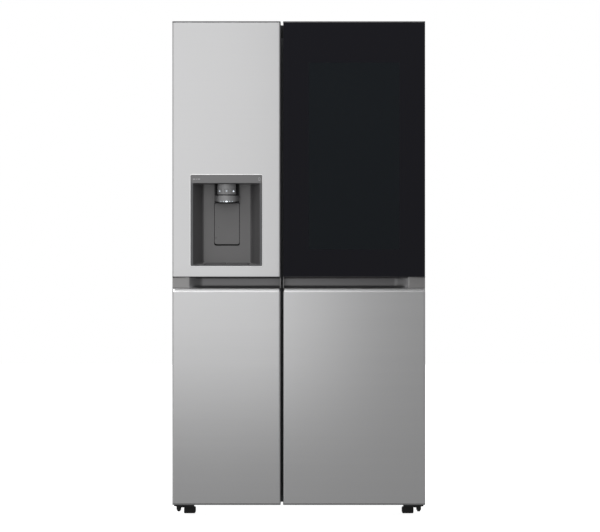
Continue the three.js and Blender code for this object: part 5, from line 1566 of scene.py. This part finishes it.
@dataclass
class Cabinet:
    """The case with its top cover, hinges, back sheet, base, feet and rollers."""

    rib_depth: float = 3 * MM
    field_edge: float = 50 * MM
    field_gap: float = 15 * MM
    spine: float = 20 * MM
    slope: float = 12 * MM
    service_z: float = 215 * MM
    cover_face: float = 2.7 * MM

    def build_back(self) -> None:
        """The back sheet, pressed into shallow fields.

        A field's depth is the rib depth times a smooth step of the distance inside it, taken
        as the lesser of the distances to its sides.
        """
        x, y, z = node_spans("back_panel")
        u, v = np.meshgrid(np.linspace(*x, 121), np.linspace(*z, 181))
        depth = np.zeros_like(u)
        bands = np.linspace(*grown(z, -self.field_edge), 5)
        sides = ((x[0] + self.field_edge, -self.spine), (self.spine, x[1] - self.field_edge))
        for low, high in zip(bands[:-1] + self.field_gap, bands[1:] - self.field_gap):
            for left, right in sides:
                inside = np.minimum.reduce([u - left, right - u, v - low, high - v])
                depth = np.maximum(depth, smooth_step(inside / self.slope))
        points = np.stack([u, y[1] - 0.2 * MM + depth * self.rib_depth, v], -1)
        making = Making("cabinet", [GALVANISED], "galvanised", ["back_panel"])
        making.thickness, making.facing, making.crease = 0.5 * MM, (0, 1, 0), 60
        make_piece("pressed_back_sheet", grid_surface(points), making)
        screw_x = grown(x, -12 * MM)
        places = [(across, y[1], z[1] - 12 * MM) for across in np.linspace(*screw_x, 7)]
        levels = np.linspace(z[0] + 20 * MM, z[1] - 150 * MM, 7)
        places += [(across, y[1], level) for across in screw_x for level in levels]
        heads = screw_heads(places, Axis.Y)
        make_piece("back_sheet_screws", heads, Making("cabinet", [SCREW], "galvanised"))

    def build_machine_cover(self) -> None:
        """The slotted cover and its screws."""
        refine("machine_cover", [BLACK_PLASTIC], 0.9 * MM, "slotted_machine_cover")
        x, y, z = node_spans("machine_cover")
        face = y[0] + self.cover_face
        columns, levels = np.linspace(*grown(x, -10 * MM), 5), grown(z, -8 * MM)
        heads = screw_heads([(across, face, level) for across in columns for level in levels], Axis.Y)
        make_piece("machine_cover_screws", heads, Making("cabinet", [SCREW], "galvanised"))

    def build_services(self) -> None:
        """The mains inlet gland and the thread of the water inlet."""
        y = node_spans("machine_cover")[1][0] + self.cover_face
        gland = [(0, 0), (15, 0), (15, 3), (11, 4), (11, 9), (8, 12), (5.5, 12), (5.5, 4), (0, 4)]
        collar = [(0, 0), (14, 0), (14, 5), (10.5, 5)]
        thread = [(10.5, 6.5), (9.4, 7), (10.5, 7.5), (9.4, 8.4), (10.5, 9), (9.4, 10)]
        inlet = collar + thread + [(10.2, 12), (6, 12), (6, 3), (0, 3)]
        services = (
            ("mains_inlet_gland", gland, -280 * MM, BLACK_RUBBER, "black_plastic"),
            ("water_inlet_thread", inlet, 300 * MM, WHITE, "white_plastic"),
        )
        for name, outline, x, finish, slot in services:
            profile = [(out * MM, level * MM) for out, level in outline]
            surface = turned_shape(profile, (x, y, self.service_z), Axis.Y, 32)
            make_piece(name, surface, Making("cabinet", [finish], slot, crease=45))

    def build_top(self) -> None:
        """The black cover along the top front and its screws."""
        refine("top_cover", [BLACK_PLASTIC], 2.2 * MM, "hinge_cover")
        x, y, z = node_spans("top_cover")
        columns = (x[0] + 40 * MM, -150 * MM, 150 * MM, x[1] - 40 * MM)
        heads = screw_heads([(across, y[0] + 30 * MM, z[1] - 1.9 * MM) for across in columns], Axis.Z)
        make_piece("hinge_cover_screws", heads, Making("cabinet", [BLACK_PAINT], "black_plastic"))

    def build_hinges(self) -> None:
        """Hinges and feet with softened edges, rollers and the chassis tray."""
        for level in ("upper", "lower"):
            for door in ("freezer", "fridge"):
                refine(f"{door}_{level}_hinge", [BLACK_PAINT], 0.9 * MM)
        for side in ("left", "right"):
            refine(f"{side}_front_foot", [BLACK_PLASTIC], 1.6 * MM)
        for side in ("left", "right"):
            self.build_roller(f"{side}_rear_roller")
        refine("base_frame", [GALVANISED], 0.6 * MM, "chassis_tray")

    def build_roller(self, node: str) -> None:
        """A roller: a hub and a tyre with a dished web between them."""
        x, y, z = node_spans(node)
        radius, half = (z[1] - z[0]) / 2, (x[1] - x[0]) / 2
        centre = (sum(x) / 2, sum(y) / 2, sum(z) / 2)
        web, tread = half - 3 * MM, half - 2 * MM
        outline = [(4.7 * MM, half), (8 * MM, half), (9 * MM, web), (radius - 5 * MM, web)]
        outline += [(radius - 4 * MM, half), (radius - 1.2 * MM, half), (radius, tread)]
        profile = [(r, -level) for r, level in outline] + outline[::-1]
        angle = np.linspace(0, 2 * np.pi, 48, endpoint=False)
        circle = np.stack([np.cos(angle), np.sin(angle)], -1)
        rings = [placed(circle * r, level, Axis.X) + centre for r, level in profile]
        making = Making(NODE_BODY[node], [BLACK_PLASTIC], "black_plastic", [node], crease=40)
        make_piece(f"{node}_wheel", ring_stack(rings, wrap=True), making)

    def build(self) -> None:
        """Makes every piece of the cabinet."""
        dress_node("outer_case", CASE_PAINT)
        dress_node("insulation_foam", FOAM)
        self.build_back()
        self.build_machine_cover()
        self.build_services()
        self.build_top()
        self.build_hinges()


@dataclass
class Machinery:
    """What sits in the machine compartment: compressor, condenser, fan and pipes."""

    play: float = 1 * MM
    shell_share: float = 0.96
    seam_low: float = 8 * MM
    pipe_radius: float = 3 * MM

    def build_compressor(self) -> None:
        """A domed steel shell with a weld seam.

        The shell's radius at a level is the full radius times the square root of one minus
        the fourth power of the level's share of the half height.
        """
        x, y, z = node_spans("compressor")
        radius = min(x[1] - x[0], y[1] - y[0]) / 2 - self.play
        middle, half = sum(z) / 2, (z[1] - z[0]) / 2 - self.play
        share = np.linspace(-1, 1, 25)
        reach = radius * self.shell_share * np.sqrt(np.maximum(1 - share**4, 0.0))
        low = middle + self.seam_low
        steps = ((0.9, 0), (1.0, 2), (1.0, 6), (0.9, 8))
        seam = [(radius * part, low + up * MM) for part, up in steps]
        centre = (sum(x) / 2, sum(y) / 2, 0)
        surface = turned_shape(list(zip(reach, middle + share * half)), centre, Axis.Z, 48)
        surface += turned_shape(seam, centre, Axis.Z, 48)
        making = Making("cabinet", [BLACK_PAINT], "black_paint", ["compressor"], crease=40)
        make_piece("compressor_shell", surface, making)

    def build_pipes(self) -> None:
        """Copper pipes from the compressor to the condenser and up the back."""
        x, y, z = node_spans("compressor")
        top = z[1] - 22 * MM
        to_condenser = [
            (x[0] + 20 * MM, sum(y) / 2, top),
            (x[0] - 10 * MM, 0.24, top + 16 * MM),
            (x[0] - 60 * MM, 0.315, top + 10 * MM),
            (0.03, 0.325, 0.19),
            (-0.10, 0.315, 0.185),
            (-0.15, 0.29, 0.172),
        ]
        up_the_back = [
            (x[1] - 24 * MM, 0.25, top),
            (x[1] + 10 * MM, 0.28, top + 22 * MM),
            (x[1] + 14 * MM, 0.32, top + 24 * MM),
            (x[1] + 16 * MM, 0.335, 0.225),
        ]
        pipes = joined([pipe(smooth_path(run), self.pipe_radius) for run in (to_condenser, up_the_back)])
        make_piece("copper_pipes", pipes, Making("cabinet", [COPPER], "aluminium"))

    def build(self) -> None:
        """Makes every piece of the machinery."""
        self.build_compressor()
        self.build_pipes()
        dress_node("condenser", ALUMINIUM)
        refine("condenser_fan", [BLACK_PLASTIC], 0.5 * MM)


# --------------------------------------------------------------------------------- studio


@dataclass
class Studio:
    """Camera, floor and lights."""

    distance: float = 8.0
    view_width: float = 2.1642
    aim: tuple[float, float] = (0.0045, 0.907)
    sensor: float = 36.0
    key_x: Span = (-1.6, 0.15)
    key_z: Span = (0.32, 2.6)
    key_y: float = -1.9
    key_radiance: float = 0.66
    side_size: Span = (2.2, 2.2)
    side_power: float = 9.0
    top_size: Span = (2.4, 2.6)
    top_power: float = 55.0
    floor_reach: float = 12.0
    floor_glow: float = 0.92
    world_slope: Span = (-0.6, 0.8)
    world_light: Span = (0.29, 0.64)

    def build_camera(self) -> None:
        """A level camera whose view is the given width at the door fronts."""
        data = bpy.data.cameras.new("camera")
        data.sensor_width = self.sensor
        data.lens = self.sensor * self.distance / self.view_width
        camera = bpy.data.objects.new("camera", data)
        camera.location = (self.aim[0], CAD_BOX[0][1] - self.distance, self.aim[1])
        camera.rotation_euler = (math.radians(90), 0, 0)
        bpy.context.scene.collection.objects.link(camera)
        bpy.context.scene.camera = camera

    def build_floor(self) -> None:
        """A pale floor that glows a little, so that it stays near white."""
        edge = np.array([-self.floor_reach, self.floor_reach])
        u, v = np.meshgrid(edge, edge)
        surface = grid_surface(np.stack([u, v, np.zeros_like(u)], -1))
        mesh = bpy.data.meshes.new("floor")
        mesh.from_pydata(surface.points.tolist(), [], surface.faces)
        sheet = ShaderSheet("pale_floor")
        sheet.set(Base_Color=(0.9, 0.9, 0.9, 1), Roughness=0.9)
        sheet.set(Emission_Color=(1, 1, 1, 1), Emission_Strength=self.floor_glow)
        mesh.materials.append(sheet.material)
        floor = bpy.data.objects.new("floor", mesh)
        bpy.context.scene.collection.objects.link(floor)
        floor.visible_glossy = False
        floor.visible_diffuse = False

    def add_softbox(
        self, name: str, centre: Sequence[float], target: Sequence[float], size: Span, power: float
    ) -> bpy.types.Object:
        """An area light that looks at a point.

        Args:
            name: The light's name.
            centre: Where it stands.
            target: The point that it looks at.
            size: Its width and height.
            power: Its power in watts.

        Returns:
            The light.
        """
        data = bpy.data.lights.new(name, "AREA")
        data.shape, data.size, data.size_y, data.energy = "RECTANGLE", size[0], size[1], power
        light = bpy.data.objects.new(name, data)
        light.location = centre
        offset = np.asarray(target) - np.asarray(centre)
        turn = math.atan2(offset[0], -offset[1])
        drop = math.atan2(-offset[2], math.hypot(offset[0], offset[1]))
        light.rotation_euler = (math.radians(90) - drop, 0, turn + math.pi)
        bpy.context.scene.collection.objects.link(light)
        return light

    def build_key(self) -> None:
        """The key light: an upright softbox in front of the left door, kept off the black glass."""
        x, z, y = self.key_x, self.key_z, self.key_y
        size = (x[1] - x[0], z[1] - z[0])
        power = self.key_radiance * math.pi * size[0] * size[1]
        centre = (sum(x) / 2, y, sum(z) / 2)
        key = self.add_softbox("key_softbox", centre, (centre[0], 0.0, centre[2]), size, power)
        kept_off = bpy.data.collections.new("kept_off_key")
        glass = bpy.data.objects["black_glass_front"]
        kept_off.objects.link(glass)
        key.light_linking.receiver_collection = kept_off
        kept_off.collection_objects[0].light_linking.link_state = "EXCLUDE"

    def build_world(self) -> None:
        """White for the camera, and a soft grey that brightens upwards for everything else."""
        world = bpy.data.worlds.new("studio")
        bpy.context.scene.world = world
        world.use_nodes = True
        tree = world.node_tree
        output = tree.nodes["World Output"]
        shown, lit = tree.nodes["Background"], tree.nodes.new("ShaderNodeBackground")
        shown.inputs[0].default_value, shown.inputs[1].default_value = (1, 1, 1, 1), 1.0
        place = tree.nodes.new("ShaderNodeTexCoord")
        axes = tree.nodes.new("ShaderNodeSeparateXYZ")
        ramp = tree.nodes.new("ShaderNodeMapRange")
        for index, value in enumerate((*self.world_slope, *self.world_light), start=1):
            ramp.inputs[index].default_value = value
        tree.links.new(place.outputs["Generated"], axes.inputs[0])
        tree.links.new(axes.outputs[2], ramp.inputs[0])
        tree.links.new(ramp.outputs[0], lit.inputs[1])
        path, mix = tree.nodes.new("ShaderNodeLightPath"), tree.nodes.new("ShaderNodeMixShader")
        tree.links.new(path.outputs["Is Camera Ray"], mix.inputs[0])
        tree.links.new(lit.outputs[0], mix.inputs[1])
        tree.links.new(shown.outputs[0], mix.inputs[2])
        tree.links.new(mix.outputs[0], output.inputs["Surface"])

    def build(self) -> None:
        """Sets the studio up."""
        self.build_camera()
        self.build_floor()
        self.build_key()
        side_stand, door_middle = (-3.2, -0.9, 1.1), (0.0, -0.2, 0.9)
        self.add_softbox("side_softbox", side_stand, door_middle, self.side_size, self.side_power)
        top_stand, below = (-0.9, -0.6, 3.6), (-0.9, -0.6, 0.0)
        self.add_softbox("top_softbox", top_stand, below, self.top_size, self.top_power)
        self.build_world()
        bpy.context.scene.view_settings.view_transform = "Standard"


def main() -> None:
    """Builds the studio and every sub-assembly in order."""
    logging.basicConfig(level=logging.INFO, format="%(name)s: %(message)s")
    dispenser = Dispenser()
    DoorLeaf(Side.FREEZER).build(dispenser.opening)
    DoorLeaf(Side.FRIDGE).build(None)
    GlassFront().build()
    dispenser.build()
    for side in Side:
        Room(side).build()
    DoorStores().build()
    AirPanels().build()
    Cabinet().build()
    Machinery().build()
    Studio().build()


if __name__ == "__main__":
    main()
